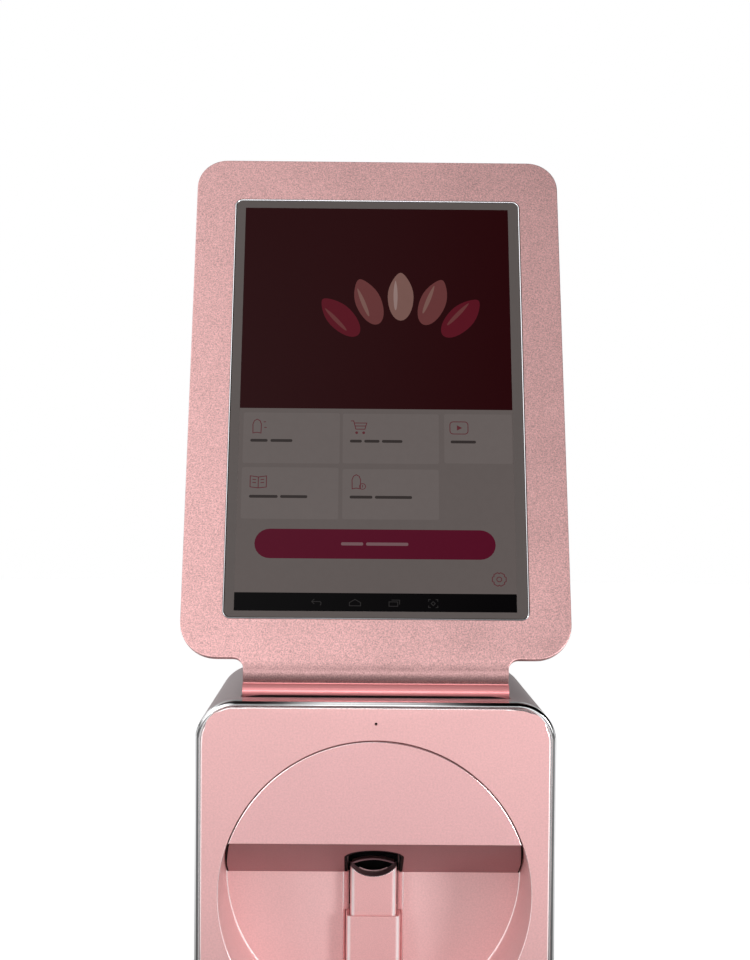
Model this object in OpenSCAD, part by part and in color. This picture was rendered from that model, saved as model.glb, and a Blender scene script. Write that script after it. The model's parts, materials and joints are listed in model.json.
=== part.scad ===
// Desktop nail art printer. A round hand recess with a finger post sits below a half-moon hood,
// a scanning print engine stands behind it, and a touch display tilts on the top.
// Millimetres, +Z up, front towards -Y. The origin is the centre of the footprint, on the table.

/* [Body] */
// Width of the body
body_w = 168; // [162:1:190]
// Depth of the body, front to back
body_d = 168; // [166:1:200]
// Height of the body above its feet
body_h = 184; // [182:1:210]
// Radius of the body's corners, seen from the front
corner_r = 18.5; // [16:0.5:22]
// Wall of the outer shell
shell_t = 2.5; // [2:0.1:3]
// Depth of the rear cover
rear_cap_d = 18; // [17:0.5:20]
// Radius of the rear cover's edge
rear_edge_r = 16; // [12:0.5:16]
// Height of the feet
foot_h = 3; // [2.6:0.1:6]
// Diameter of the feet
foot_dia = 16; // [12:0.5:20]
// Distance of the feet from the body's sides
foot_inset_x = 26; // [24:1:36]
// Distance of the feet from the front and the back
foot_inset_y = 34; // [32:1:45]

/* [Front] */
// Width of the bright trim, seen from the front
trim_w = 2; // [1.2:0.1:3]
// Depth of the bright trim
trim_d = 6; // [5:0.5:8]
// Groove between the trim and the front panel
groove_w = 0.5; // [0.3:0.1:0.8]
// Thickness of the front panel
panel_t = 3; // [2.4:0.1:3.5]
// How far the front panel lies behind the trim's face
panel_set = 0.3; // [0.1:0.1:0.6]
// Diameter of the pinhole
pinhole_dia = 1.4; // [1:0.1:2]
// Pinhole below the body's top
pinhole_drop = 10.2; // [9:0.2:11]

/* [Recess] */
// Least distance of the round hand recess from the body's sides
circle_side = 11; // [10.5:0.5:14]
// Top of the recess below the body's top
circle_top = 18; // [17:0.5:19]
// Least distance of the recess from the body's bottom
circle_low = 20; // [19:0.5:24]
// Depth of the recess
recess_d = 55; // [52:0.5:58]
// Wall of the recess tunnel
tunnel_t = 2; // [1.6:0.1:2.4]
// Thickness of the recess back wall
back_t = 2.5; // [2:0.1:3]
// Width of the upright channel in the back wall
channel_w = 29.8; // [29.6:0.1:32]
// Depth of the channel behind the back wall's face
channel_d = 6; // [5:0.5:8]

/* [Hood] */
// Front lower edge of the hood below the body's top
hood_drop = 66.5; // [64:0.5:68]
// Fall of the hood's underside towards the back, in degrees
hood_fall = 25; // [23:0.5:26]
// Gap around the hood
hood_gap = 0.45; // [0.3:0.05:0.8]
// Wall of the hood
hood_t = 2.2; // [1.8:0.1:2.6]
// Width of the finger port in the hood's underside
port_w = 28.8; // [28.6:0.1:29.6]
// Front of the finger port behind the hood's face
port_front = 11.5; // [9:0.5:14]
// Diameter of the holding magnets
magnet_dia = 8; // [5:0.5:9]
// Thickness of the holding magnets
magnet_t = 2; // [1.5:0.1:2.2]

/* [Finger rest] */
// Width of the lower grip block
post_w = 26.8; // [26.6:0.2:28]
// Front of the grip block behind the body's front
post_front = 42; // [40:0.5:44]
// Top of the grip block below the body's top
shoulder_drop = 110.9; // [108:0.5:114]
// Width of the sprung finger rest
rest_w = 22.8; // [22:0.1:23]
// Radius of the upright edges of both blocks
rest_edge_r = 3; // [2:0.25:3.5]
// Radius of the finger cradle
cradle_r = 15.5; // [14:0.25:18]
// Lowest point of the cradle below the body's top
cradle_drop = 91.5; // [90.5:0.25:93]
// Travel of the finger rest
rest_travel = 8; // [5:0.5:9]

/* [Finger arch] */
// Width of the arch behind the cradle
arch_w = 24.6; // [24:0.1:25]
// Top of the arch below the body's top
arch_drop = 85.4; // [85:0.1:86.4]
// Radius of the arch
arch_r = 28.4; // [22:0.2:36]
// Thickness of the arch
arch_t = 1; // [0.8:0.1:1.2]

/* [Display] */
// Display's lean from upright at rest, in degrees
tilt = 20; // [10:0.5:24]
// Hinge axis behind the body's front
hinge_back = 20.5; // [20:0.25:22]
// Hinge axis above the body's top
hinge_rise = 2.5; // [2.2:0.1:3.2]
// Radius of the hinge barrel
barrel_r = 3.4; // [3.2:0.1:3.6]
// Diameter of the hinge pin
hinge_pin_dia = 2.2; // [1.8:0.1:2.4]
// Width of the display frame
screen_w = 188; // [182:1:196]
// Lower edge of the display frame, from the hinge axis
screen_low = 15.5; // [14:0.5:18]
// Height of the display frame without its neck
screen_h = 268.5; // [264:0.5:276]
// Radius of the display frame's upper corners
screen_top_r = 15.5; // [12:0.5:20]
// Radius of the display frame's lower corners
screen_low_r = 17.5; // [12:0.5:22]
// Thickness of the display frame
frame_t = 3.6; // [3.4:0.1:4.2]
// Distance of the neck from the body's sides
neck_side = 20.7; // [20:0.1:28]
// Fillet between the neck and the frame
neck_r = 5; // [3:0.5:7]
// Width of the cover glass with its rim
glass_w = 148; // [146:0.5:152]
// Height of the cover glass with its rim
glass_h = 226.6; // [224:0.2:230]
// Lower edge of the cover glass above the frame's lower edge
glass_low = 19.2; // [18:0.1:22]
// Corner radius of the cover glass
glass_r = 4; // [3:0.5:6]
// Width of the bright rim around the glass
rim_w = 0.8; // [0.5:0.1:1.2]
// Width of the picture area
picture_w = 135.4; // [130:0.2:137]
// Height of the picture area
picture_h = 216.6; // [210:0.2:218]
// Depth of the display's back cover
back_cover_d = 10; // [9.6:0.1:12]

/* [Print engine] */
// Distance of the engine's side plates from the body's sides
engine_side = 22; // [20:0.5:22]
// Diameter of the feed rods
feed_rod_dia = 6; // [5:0.5:7]
// Diameter of the scan rods
scan_rod_dia = 5; // [4:0.5:5.5]
// Width of the ink cartridge
cartridge_w = 24; // [20:0.5:24]
// Depth of the ink cartridge
cartridge_d = 44; // [40:0.5:44]
// Height of the ink cartridge's body
cartridge_h = 40; // [36:0.5:40]
// Diameter of the lead screw
screw_dia = 5; // [4:0.5:6]
// Effective radius of the belt pulleys
pulley_r = 6; // [5:0.25:6.5]
// Deck below the finger tray's floor
deck_drop = 16.6; // [16:0.2:19]

/* [Hidden] */
$fn = 96;

// Fits
slip = 0.06;          // radial clearance of a shaft in its bore
tight = 0.02;         // radial clearance of a pin that is held in its bore
gap = 0.3;            // clearance between separate moulded pieces
seat = 0.2;           // clearance of a piece that is seated in another
eps = 0.01;
far = 400;            // longer than any piece, for cutting

// Body
top_z = foot_h + body_h;
front_y = -body_d / 2;
circle_r = min(body_w / 2 - circle_side, (body_h - circle_top - circle_low) / 2);
circle_z = top_z - circle_top - circle_r;
neck_w = body_w - 2 * neck_side;
floor_z = foot_h + shell_t;
shell_end = body_d - rear_cap_d;
rear_in = body_d - shell_t;
spigot_t = 1.5;
spigot_l = 4;
panel_inset = trim_w + groove_w;
panel_back = panel_set + panel_t;
flange_w = 5;
flange_t = 2.4;

// Recess and hood
tunnel_r = circle_r + tunnel_t;
back_face = recess_d + back_t;
channel_end = recess_d + channel_d;
channel_back_t = 2;
channel_foot = arch_w + 2 * seat;
channel_rear = channel_end + channel_back_t;
channel_low = circle_z - circle_r;
hood_r = circle_r - hood_gap;
hood_z = top_z - hood_drop;
hood_end = recess_d - gap;
slope = tan(hood_fall);
function underside(depth) = hood_z - slope * (depth - panel_set);
arch_top = top_z - arch_drop;
channel_top = arch_top + 2.4;
window_z = channel_top + 2;
window_r = circle_r - 15;
magnet_ring_r = circle_r - 7.5;
magnet_angles = [25, 70, 110, 155];
boss_r = magnet_dia / 2 + 1.8;
boss_l = 6;
lining_t = 1.4;
lining_r = port_w / 2 - 0.1;
lining_top = arch_top + 16;

// Finger rest
shoulder_z = top_z - shoulder_drop;
cradle_z = top_z - cradle_drop;
lip_t = 1.3;
rest_front = post_front + lip_t + 0.25;
rest_d = recess_d - rest_front + 0.6;
rest_foot = shoulder_z - 12;
pocket_floor = rest_foot - rest_travel - 1;
pocket_wall = 0.25;
spring_r = 4;
spring_wire = 1.4;
spring_top = shoulder_z + 4;
guide_x = 7.6;
guide_r = 1.5;
guide_top = rest_foot + 12;
rest_mid = rest_front + rest_d / 2;
post_end = recess_d + channel_d * (channel_w - post_w) / (channel_w - channel_foot) - 0.5;

// Finger tray behind the arch
arch_front = channel_end - 4.5;
tray_w = 32;
tray_wall = 2;
tray_end = channel_rear + 41;
tray_top = arch_top - 5.6;
tray_floor = arch_top - 23;
stop_t = 3;

// Engine frame, measured back from the body's front
nozzle_z = arch_top + 1.2;
carriage_z = nozzle_z + 1.2;
engine_w = body_w - 2 * engine_side;
side_x = engine_w / 2;
plate_t = 1.5;
base_z = floor_z + plate_t;
deck_z = tray_floor - deck_drop;
deck_top = deck_z + plate_t;
side_start = channel_rear + 3;
side_end = rear_in - 7.5;
side_top = carriage_z + 72;
base_start = trim_d + spigot_l + 2;
base_end = shell_end - spigot_l - 3;
base_half = body_w / 2 - corner_r - 0.5;
cap_lift = 5;

// Print carriage at rest: at the right, over the service cap. It feeds as far as the body's depth allows
cup_wall = 2.5;
cartridge_gap = 0.3;
hang_d = 10;
plate_lead = 5;
gantry_t = 2;
bearing_lead = 2;
bearing_l = 4;
deck_end = side_end - 0.2;
feed_travel = deck_end - channel_rear - 1 - cartridge_d - cartridge_gap - cup_wall - hang_d
    - plate_lead - gantry_t - bearing_lead - bearing_l - 2;
carriage_front = channel_rear + 1 + feed_travel;
cup_w = cartridge_w + 2 * cup_wall;
cup_floor = 1.5;
latch_t = 2.2;
cup_h = cup_floor + cartridge_h + gap + latch_t + 0.6;
cup_back = carriage_front + cartridge_d + cartridge_gap;
hang_start = cup_back + cup_wall;
hang_end = hang_start + hang_d;
rod_depth = hang_start + hang_d / 2;
low_rod_z = carriage_z + 12;
high_rod_z = carriage_z + 38;
bush_wall = 1.5;
bush_l = 6;
scan_travel = engine_w - 64;
parked_x = scan_travel / 2;
nozzle_w = 16;
nozzle_front = carriage_front + 2;
nozzle_d = 7;
latch_axis = carriage_front + cartridge_d - 4;
latch_z = carriage_z + cup_floor + cartridge_h + gap + latch_t;
trunnion_r = 1.2;

// Gantry
plate_front = hang_end + plate_lead;
plate_rear = plate_front + gantry_t;
end_plate_t = 3;
end_x = side_x - 16;
feed_rod_x = side_x - 7;
feed_rod_z = carriage_z + 24;
block_w = 12;
block_h = 12;
block_l = 18;
holder_l = 6;
rod_start = side_start + 4;
holder_rear = side_end - holder_l;
gantry_top = carriage_z + 56;
pulley_z = (low_rod_z + high_rod_z) / 2;
drive_x = -side_x + 28;
belt_t = 1;
idler_x = end_x - pulley_r - belt_t - 1.5;
pulley_w = 4;
pulley_start = hang_end + 0.5;
flange_t_pulley = 0.5;
belt_gap = 0.1;
scan_shaft_r = 1.2;
idler_pin_r = 1.5;
motor_w = 28;
motor_d = 11;

// Lead screw
screw_x = -34;
screw_z = carriage_z - 16;
feed_motor_r = 12;
feed_motor_start = side_start + 0.5;
feed_motor_l = 29;
feed_motor_end = feed_motor_start + feed_motor_l;
bracket_w = 24;
coupler_r = 5.5;
coupler_l = 10;
coupler_start = feed_motor_end + plate_t + 1.5;
screw_end = side_end - 1;
nut_r = 6;
nut_l = 10;
bearing_wall = 1.5;
bearing_start = plate_rear + bearing_lead;

// Service station and camera
cap_w = 17;
cap_front = nozzle_front - 3;
cap_d = nozzle_d + 6;
cap_top = nozzle_z - 0.5;
cap_base_z = cap_top - 4.3;
camera_w = 22;
camera_h = 10;
camera_mid = channel_rear + 13;
lens_r = 4.5;
lens_l = 8;
ring_r = 10.5;
ring_t = 1.6;

// Rear fittings
board_z = foot_h + rear_edge_r + 3;
board_t = 1.6;
board_top = board_z + board_t;
board_half = side_x - 7;
board_start = side_start + 4;
board_end = side_end - plate_t - gap;
post_r = 3;
inlet_x = -44;
inlet_size = 13;
inlet_hole_r = 4;
inlet_bore_r = 3.2;
usb_x = -20;
usb_w = 14;
usb_h = 15;
button_x = 44;
button_z = board_top + 7;
button_r = 6;
button_travel = 1.5;
button_flange_r = 7.5;
button_flange_t = 1.6;
button_stem_r = 2;
switch_end = side_end;
vent_count = 14;
vent_pitch = 7;
vent_w = 2.2;
vent_h = 34;
vent_z = arch_top - 4;
rear_screw_x = side_x - 4;
rear_screw_low = foot_h + rear_edge_r + 6;
rear_screw_high = top_z - rear_edge_r - 8;
m3_r = 1.5;
m3_head_r = 2.8;
m3_head_t = 1.8;

// Hinge
axis_z = top_z + hinge_rise;
knuckle_r = barrel_r - 1.1;
knuckle_x = 42;
knuckle_l = 14;
slot_half = barrel_r + 0.6;
bracket_t = 3;
bracket_x = neck_w / 2 + 1.5;
hinge_pin_r = hinge_pin_dia / 2;
skin_low = -72;
skin_high = 100;
web_front = 0.6;
web_t = 2.4;
barrel_end = 0.15;    // the barrel stops short of the neck's sides

// Display, measured up the panel from the hinge axis
face_y = -(barrel_r - 0.8);
frame_rear = face_y + frame_t;
glass_bottom = screen_low + glass_low;
glass_mid = glass_bottom + glass_h / 2;
screen_mid = screen_low + screen_h / 2;
glass_t = 1.1;
glass_set = 0.2;
ledge_front = glass_set + glass_t;
ledge_t = 1.2;
ledge_w = 1.8;
module_t = 4;
module_side = 1;
cover_inset = 3.5;
cover_wall = 2;
cover_edge_r = 6;
cover_r = 16;
cover_screw_x = screen_w / 2 - 22;
cover_screw_z = screen_h / 2 - 13;

rose = [0.83, 0.64, 0.64];
blush = [0.92, 0.73, 0.74];
mauve = [0.6, 0.54, 0.55];
bright = [0.86, 0.87, 0.88];
steel = [0.66, 0.68, 0.7];
black = [0.08, 0.08, 0.08];
dark = [0.2, 0.2, 0.22];

// ---- shared shapes ----

// Moves children from "depth behind the front" to the model's frame
module at_front() { translate([0, front_y, 0]) children(); }

// Upright outline (x, z) extruded towards the back
module along_y(start, length)
{
    translate([0, start + length, 0]) rotate([90, 0, 0]) linear_extrude(length) children();
}

// Side outline (y, z) extruded along x, centred
module along_x(length)
{
    translate([-length / 2, 0, 0]) rotate([90, 0, 90]) linear_extrude(length) children();
}

// Round bar along y
module bar_y(r, start, length) { translate([0, start, 0]) rotate([-90, 0, 0]) cylinder(r = r, h = length); }

// Round bar along x, centred
module bar_x(r, length) { rotate([0, 90, 0]) cylinder(r = r, h = length, center = true); }

// Box given by its lowest corner and its size
module block(corner, size) { translate(corner) cube(size); }

module rounded(w, h, r)
{
    square([w - 2 * r, h], center = true);
    square([w, h - 2 * r], center = true);
    for (sx = [-1, 1], sy = [-1, 1]) translate([sx * (w / 2 - r), sy * (h / 2 - r)]) circle(r);
}

// The body's front outline, moved in by an amount
module body_outline(inset)
{
    translate([0, foot_h + body_h / 2])
        rounded(body_w - 2 * inset, body_h - 2 * inset, corner_r - inset);
}

module body_ring(inset, width)
{
    difference()
    {
        body_outline(inset);
        body_outline(inset + width);
    }
}

// Rounded block whose far edge is rolled over; it stands on z = 0
module dished(w, h, corner, edge, depth)
{
    intersection()
    {
        union()
        {
            linear_extrude(depth - edge) rounded(w, h, corner);
            linear_extrude(depth) rounded(w - 2 * edge, h - 2 * edge, corner - edge);
            for (sx = [-1, 1], sy = [-1, 1])
                translate([sx * (w / 2 - corner), sy * (h / 2 - corner), 0])
                    rotate_extrude() dished_profile(corner, edge, depth);
            for (sx = [-1, 1])
                translate([sx * (w / 2 - edge), 0, depth - edge])
                    rotate([90, 0, 0]) cylinder(r = edge, h = h - 2 * corner, center = true);
            for (sy = [-1, 1])
                translate([0, sy * (h / 2 - edge), depth - edge])
                    rotate([0, 90, 0]) cylinder(r = edge, h = w - 2 * corner, center = true);
        }
        translate([-w / 2, -h / 2, 0]) cube([w, h, depth]);
    }
}

module dished_profile(corner, edge, depth)
{
    intersection()
    {
        union()
        {
            square([corner - edge, depth]);
            square([corner, depth - edge]);
            translate([corner - edge, depth - edge]) circle(edge);
        }
        square([corner, depth]);
    }
}

// ---- body ----

module main_shell()
{
    color(mauve) at_front() difference()
    {
        along_y(trim_d, shell_end - trim_d) body_ring(0, shell_t);
        translate([-neck_w / 2 - 0.5, hinge_back - slot_half, top_z - shell_t - 1])
            cube([neck_w + 1, 2 * slot_half, shell_t + 2]);
        foot_places() translate([0, 0, foot_h - 1]) cylinder(r = m3_r + 0.2, h = shell_t + 2);
    }
}

module front_trim()
{
    color(bright) at_front()
    {
        along_y(0, trim_d) body_ring(0, trim_w);
        along_y(panel_back, flange_t) body_ring(trim_w - eps, flange_w);
        along_y(trim_d - eps, spigot_l) body_ring(shell_t + seat, spigot_t);
        along_y(panel_back, trim_d - panel_back) body_ring(trim_w - eps, shell_t + seat + spigot_t - trim_w);
    }
}

module front_panel()
{
    color(blush) at_front() difference()
    {
        union()
        {
            along_y(panel_set, panel_t) body_outline(panel_inset);
            translate([0, 0, circle_z]) bar_y(tunnel_r, panel_set + 1, recess_d - panel_set - 1);
        }
        translate([0, 0, circle_z]) bar_y(circle_r, -1, recess_d + 2);
        translate([0, 0, top_z - pinhole_drop]) bar_y(pinhole_dia / 2, -1, panel_t + 2);
    }
}

module recess_back()
{
    color(rose) at_front() difference()
    {
        union()
        {
            translate([0, 0, circle_z]) bar_y(tunnel_r, recess_d, back_t);
            block([-channel_w / 2 - channel_back_t, recess_d + 1, channel_low - channel_back_t],
                  [channel_w + 2 * channel_back_t, channel_rear - recess_d - 1,
                   channel_top + 1 - channel_low + channel_back_t]);
        }
        // upright channel
        translate([0, 0, channel_low]) linear_extrude(channel_top - channel_low)
            channel_plan();
        // opening for the finger arch
        block([-arch_w / 2 - seat, recess_d, tray_floor - 1],
              [arch_w + 2 * seat, far, channel_top - tray_floor + 1]);
        // service window behind the hood
        intersection()
        {
            translate([0, 0, circle_z]) bar_y(window_r, recess_d - 1, back_t + 2);
            block([-far, 0, window_z], [2 * far, far, far]);
        }
        magnet_places() bar_y(magnet_dia / 2 + tight, recess_d - 1, magnet_t + 1);
    }
}

module channel_plan()
{
    polygon([
        [-channel_w / 2, recess_d - 1], [-channel_w / 2, recess_d], [-channel_foot / 2, channel_end],
        [channel_foot / 2, channel_end], [channel_w / 2, recess_d], [channel_w / 2, recess_d - 1]
    ]);
}

module magnet_places()
{
    for (a = magnet_angles)
        translate([magnet_ring_r * cos(a), 0, circle_z + magnet_ring_r * sin(a)]) children();
}

module body_magnets()
{
    color(steel) at_front() magnet_places() bar_y(magnet_dia / 2, recess_d, magnet_t);
}

// Half-moon above the hood's sloped underside; drop lifts or lowers the slope
module above_slope(start, end, lift)
{
    along_x(far) polygon([
        [start, underside(start) + lift], [end, underside(end) + lift],
        [end, circle_z + far], [start, circle_z + far]
    ]);
}

// U-shaped port seen from above, open at the back
module port(r, bottom, height)
{
    translate([0, 0, bottom]) linear_extrude(height)
    {
        translate([0, port_front + port_w / 2]) circle(r);
        translate([-r, port_front + port_w / 2]) square([2 * r, recess_d]);
    }
}

module print_hood()
{
    floor_lift = hood_t / cos(hood_fall);
    color(blush) at_front() difference()
    {
        union()
        {
            difference()
            {
                intersection()
                {
                    translate([0, 0, circle_z]) bar_y(hood_r, panel_set, hood_end - panel_set);
                    above_slope(panel_set, hood_end, 0);
                }
                intersection()
                {
                    translate([0, 0, circle_z]) bar_y(hood_r - hood_t, panel_back, recess_d);
                    above_slope(panel_back, far, floor_lift);
                }
            }
            magnet_places() bar_y(boss_r, hood_end - boss_l, boss_l);
        }
        port(lining_r + 0.1, 0, lining_top);
        magnet_places() bar_y(magnet_dia / 2 + tight, hood_end - magnet_t, magnet_t + 1);
    }
}

module hood_magnets()
{
    color(steel) at_front() magnet_places() bar_y(magnet_dia / 2, hood_end - magnet_t, magnet_t);
}

module port_lining()
{
    color(black) at_front() intersection()
    {
        difference()
        {
            port(lining_r, 0, lining_top);
            intersection()
            {
                port(lining_r - lining_t, -1, lining_top - lining_t + 1);
                block([-far, 0, -far], [2 * far, hood_end - lining_t, 2 * far]);
            }
            // the back is open below the curtain
            block([-lining_r + lining_t, hood_end - lining_t - 1, 0], [2 * (lining_r - lining_t), far, channel_top]);
        }
        above_slope(0, hood_end, 0);
    }
}

module status_lamp()
{
    lamp_h = 5;
    color("gold") at_front() difference()
    {
        block([-6, panel_back, top_z - pinhole_drop - lamp_h / 2], [12, 3.5, lamp_h]);
        translate([0, 0, top_z - pinhole_drop]) bar_y(pinhole_dia / 2 + 0.3, panel_back - 1, 2);
    }
}

module rear_cover()
{
    cap_h = rear_cap_d;
    color(mauve) at_front() difference()
    {
        union()
        {
            difference()
            {
                translate([0, shell_end, foot_h + body_h / 2]) rotate([-90, 0, 0])
                    dished(body_w, body_h, corner_r, rear_edge_r, cap_h);
                translate([0, shell_end - eps, foot_h + body_h / 2]) rotate([-90, 0, 0])
                    dished(body_w - 2 * shell_t, body_h - 2 * shell_t, corner_r - shell_t,
                           rear_edge_r - shell_t, cap_h - shell_t);
            }
            along_y(shell_end - spigot_l, spigot_l + 2) body_ring(shell_t + seat, spigot_t);
            along_y(shell_end, 2) body_ring(shell_t - eps, seat + spigot_t);
            rear_screw_places() bar_y(4, side_end, rear_in - side_end + eps);
        }
        for (i = [0 : vent_count - 1])
            translate([(i - (vent_count - 1) / 2) * vent_pitch, 0, vent_z])
                along_y(rear_in - 1, shell_t + 2) rounded(vent_w, vent_h, vent_w / 2 - eps);
        translate([inlet_x, 0, board_top + inlet_size / 2]) bar_y(inlet_hole_r, rear_in - 1, shell_t + 2);
        block([usb_x - usb_w / 2 - seat, rear_in - 1, board_top - seat],
              [usb_w + 2 * seat, shell_t + 2, usb_h + 2 * seat]);
        translate([button_x, 0, button_z]) bar_y(button_r + gap, rear_in - 1, shell_t + 2);
        rear_screw_places()
        {
            bar_y(m3_r + 0.1, side_end - 1, far);
            bar_y(m3_head_r + 0.2, body_d - m3_head_t - 0.2, far);
        }
    }
}

module rear_screw_places()
{
    for (sx = [-1, 1], z = [rear_screw_low, rear_screw_high]) translate([sx * rear_screw_x, 0, z]) children();
}

module rear_screws()
{
    color(steel) at_front() rear_screw_places() difference()
    {
        union()
        {
            bar_y(m3_r, side_end - plate_t - 4, body_d - m3_head_t - 0.2 - side_end + plate_t + 4 + eps);
            bar_y(m3_head_r, body_d - m3_head_t - 0.2, m3_head_t);
        }
        bar_y(1, body_d - 1.3, 2);
    }
}

module foot_places()
{
    for (sx = [-1, 1], y = [foot_inset_y, body_d - foot_inset_y])
        translate([sx * (body_w / 2 - foot_inset_x), y, 0]) children();
}

module feet()
{
    foot_r = foot_dia / 2;
    color(dark) at_front() foot_places() rotate_extrude() difference()
    {
        polygon([[0, 0.8], [0, foot_h], [foot_r, foot_h], [foot_r, 0.8], [foot_r - 0.8, 0], [4, 0], [4, 0.8]]);
        square([m3_r + 0.1, foot_h]);
        square([m3_head_r + 0.2, 0.8 + eps]);
    }
}

module foot_screws()
{
    head_t = 1.4;
    head_z = 0.8;
    color(steel) at_front() foot_places() difference()
    {
        union()
        {
            translate([0, 0, head_z - head_t + 0.9]) cylinder(r = m3_head_r, h = head_t - 0.9);
            translate([0, 0, head_z - eps]) cylinder(r = m3_r, h = base_z - head_z + 2);
        }
        cylinder(r = 1, h = 0.6);
    }
}

module base_plate()
{
    color(steel) at_front() difference()
    {
        block([-base_half, base_start, floor_z], [2 * base_half, base_end - base_start, plate_t]);
        foot_places() translate([0, 0, floor_z - 1]) cylinder(r = m3_r + tight, h = plate_t + 2);
    }
}

// ---- hand post and finger path ----

module post_plan(w, front, end, r)
{
    translate([-w / 2 + r, front]) square([w - 2 * r, end - front]);
    translate([-w / 2, front + r]) square([w, end - front - r]);
    for (sx = [-1, 1]) translate([sx * (w / 2 - r), front + r]) circle(r);
}

module grip_post()
{
    color(rose) at_front() difference()
    {
        intersection()
        {
            translate([0, 0, channel_low]) linear_extrude(shoulder_z - channel_low)
            {
                post_plan(post_w, post_front, post_end, rest_edge_r);
                translate([-channel_foot / 2 + 0.5, post_end - 1])
                    square([channel_foot - 1, channel_end - post_end + 1]);
            }
            translate([0, 0, circle_z]) bar_y(circle_r - slip, 0, far);
        }
        translate([0, 0, pocket_floor]) linear_extrude(far)
            post_plan(rest_w + 2 * pocket_wall, rest_front - pocket_wall,
                      rest_front + rest_d + pocket_wall, rest_edge_r + pocket_wall);
        for (sx = [-1, 1])
            translate([sx * guide_x, rest_mid, pocket_floor - 6]) cylinder(r = guide_r + tight, h = far);
    }
}

module rest_guide_pins()
{
    color(steel) at_front() for (sx = [-1, 1])
        translate([sx * guide_x, rest_mid, pocket_floor - 6])
            cylinder(r = guide_r, h = guide_top - pocket_floor + 6);
}

module rest_spring()
{
    color(steel) at_front() translate([0, rest_mid, pocket_floor]) difference()
    {
        cylinder(r = spring_r, h = spring_top - pocket_floor - 0.1);
        translate([0, 0, -1]) cylinder(r = spring_r - spring_wire, h = far);
    }
}

module finger_rest()
{
    color(rose) at_front() difference()
    {
        translate([0, 0, rest_foot]) linear_extrude(cradle_z + cradle_r - rest_foot)
            post_plan(rest_w, rest_front, rest_front + rest_d, rest_edge_r);
        translate([0, 0, cradle_z + cradle_r]) bar_y(cradle_r, 0, far);
        block([-far, 0, cradle_z + cradle_r - sqrt(pow(cradle_r, 2) - pow(rest_w / 2, 2))], [2 * far, far, far]);
        translate([0, rest_mid, rest_foot - 1]) cylinder(r = spring_r + 0.3, h = spring_top - rest_foot + 1);
        for (sx = [-1, 1])
            translate([sx * guide_x, rest_mid, rest_foot - 1])
                cylinder(r = guide_r + slip, h = guide_top - rest_foot + rest_travel + 2);
    }
}

module finger_arch()
{
    color(rose) at_front() along_y(arch_front, channel_rear - arch_front) difference()
    {
        arch_outline(arch_w, arch_top, arch_r, tray_floor);
        arch_outline(arch_w - 2 * arch_t, arch_top - arch_t, arch_r - arch_t, tray_floor - 1);
    }
}

module arch_outline(w, top, r, bottom)
{
    intersection()
    {
        translate([-w / 2, bottom]) square([w, top - bottom]);
        translate([0, top - r]) circle(r);
    }
}

module finger_tray()
{
    color(black) at_front() difference()
    {
        block([-tray_w / 2, channel_rear, deck_top], [tray_w, tray_end - channel_rear, tray_top - deck_top]);
        block([-tray_w / 2 + tray_wall, channel_rear - 1, tray_floor],
              [tray_w - 2 * tray_wall, tray_end - channel_rear - tray_wall + 1, far]);
        block([-tray_w / 2 + tray_wall, channel_rear - 1, deck_top - 1],
              [tray_w - 2 * tray_wall, far, tray_floor - tray_wall - deck_top + 1]);
    }
}

module finger_stop()
{
    stop_w = tray_w - 2 * tray_wall - 4;
    color(dark) at_front()
        block([-stop_w / 2, tray_end - tray_wall - stop_t, tray_floor],
              [stop_w, stop_t, tray_top - tray_floor - 2]);
}

// ---- engine frame ----

module side_plate()
{
    difference()
    {
        union()
        {
            translate([plate_t / 2, 0, 0]) along_x(plate_t) difference()
            {
                polygon([
                    [side_start, base_z], [base_end, base_z], [base_end, base_z + cap_lift],
                    [side_end, base_z + cap_lift], [side_end, side_top], [side_start, side_top]
                ]);
                translate([(side_start + side_end) / 2, (base_z + deck_z) / 2 + 6]) circle(15);
                translate([(side_start + side_end) / 2, feed_rod_z + 24]) circle(10);
            }
            for (z = [rear_screw_low, rear_screw_high])
                block([-8, side_end - plate_t, z - 5], [8 + eps, plate_t, 10]);
        }
        for (z = [rear_screw_low, rear_screw_high])
            translate([rear_screw_x - side_x, 0, z]) bar_y(m3_r + tight, side_end - plate_t - 1, plate_t + 2);
    }
}

module side_plate_right() { color(steel) at_front() translate([side_x, 0, 0]) side_plate(); }

module side_plate_left() { color(steel) at_front() mirror([1, 0, 0]) translate([side_x, 0, 0]) side_plate(); }

module deck_plate()
{
    color(steel) at_front() difference()
    {
        block([-side_x, side_start, deck_z], [engine_w, deck_end - side_start, plate_t]);
        translate([side_x - 16, deck_end - 20, deck_z - 1]) cylinder(r = 8, h = plate_t + 2);
    }
}

module top_bridge()
{
    color(steel) at_front()
        block([-side_x - plate_t, side_start, side_top], [engine_w + 2 * plate_t, camera_w + 6, plate_t]);
}

module feed_rods()
{
    color(bright) at_front() for (sx = [-1, 1])
        translate([sx * feed_rod_x, 0, feed_rod_z]) bar_y(feed_rod_dia / 2, rod_start, side_end - rod_start);
}

module rod_holders()
{
    color(dark) at_front() for (sx = [-1, 1], y = [rod_start, holder_rear])
        difference()
        {
            translate([sx * (side_x - 6.5), y + holder_l / 2, feed_rod_z])
                cube([13, holder_l, block_h], center = true);
            translate([sx * feed_rod_x, 0, feed_rod_z]) bar_y(feed_rod_dia / 2 + tight, 0, far);
        }
}

// ---- feed drive ----

module feed_motor()
{
    color(dark) at_front() translate([screw_x, 0, screw_z]) difference()
    {
        bar_y(feed_motor_r, feed_motor_start, feed_motor_l);
        bar_y(screw_dia / 2 + slip, feed_motor_end - 5, 6);
    }
}

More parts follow.
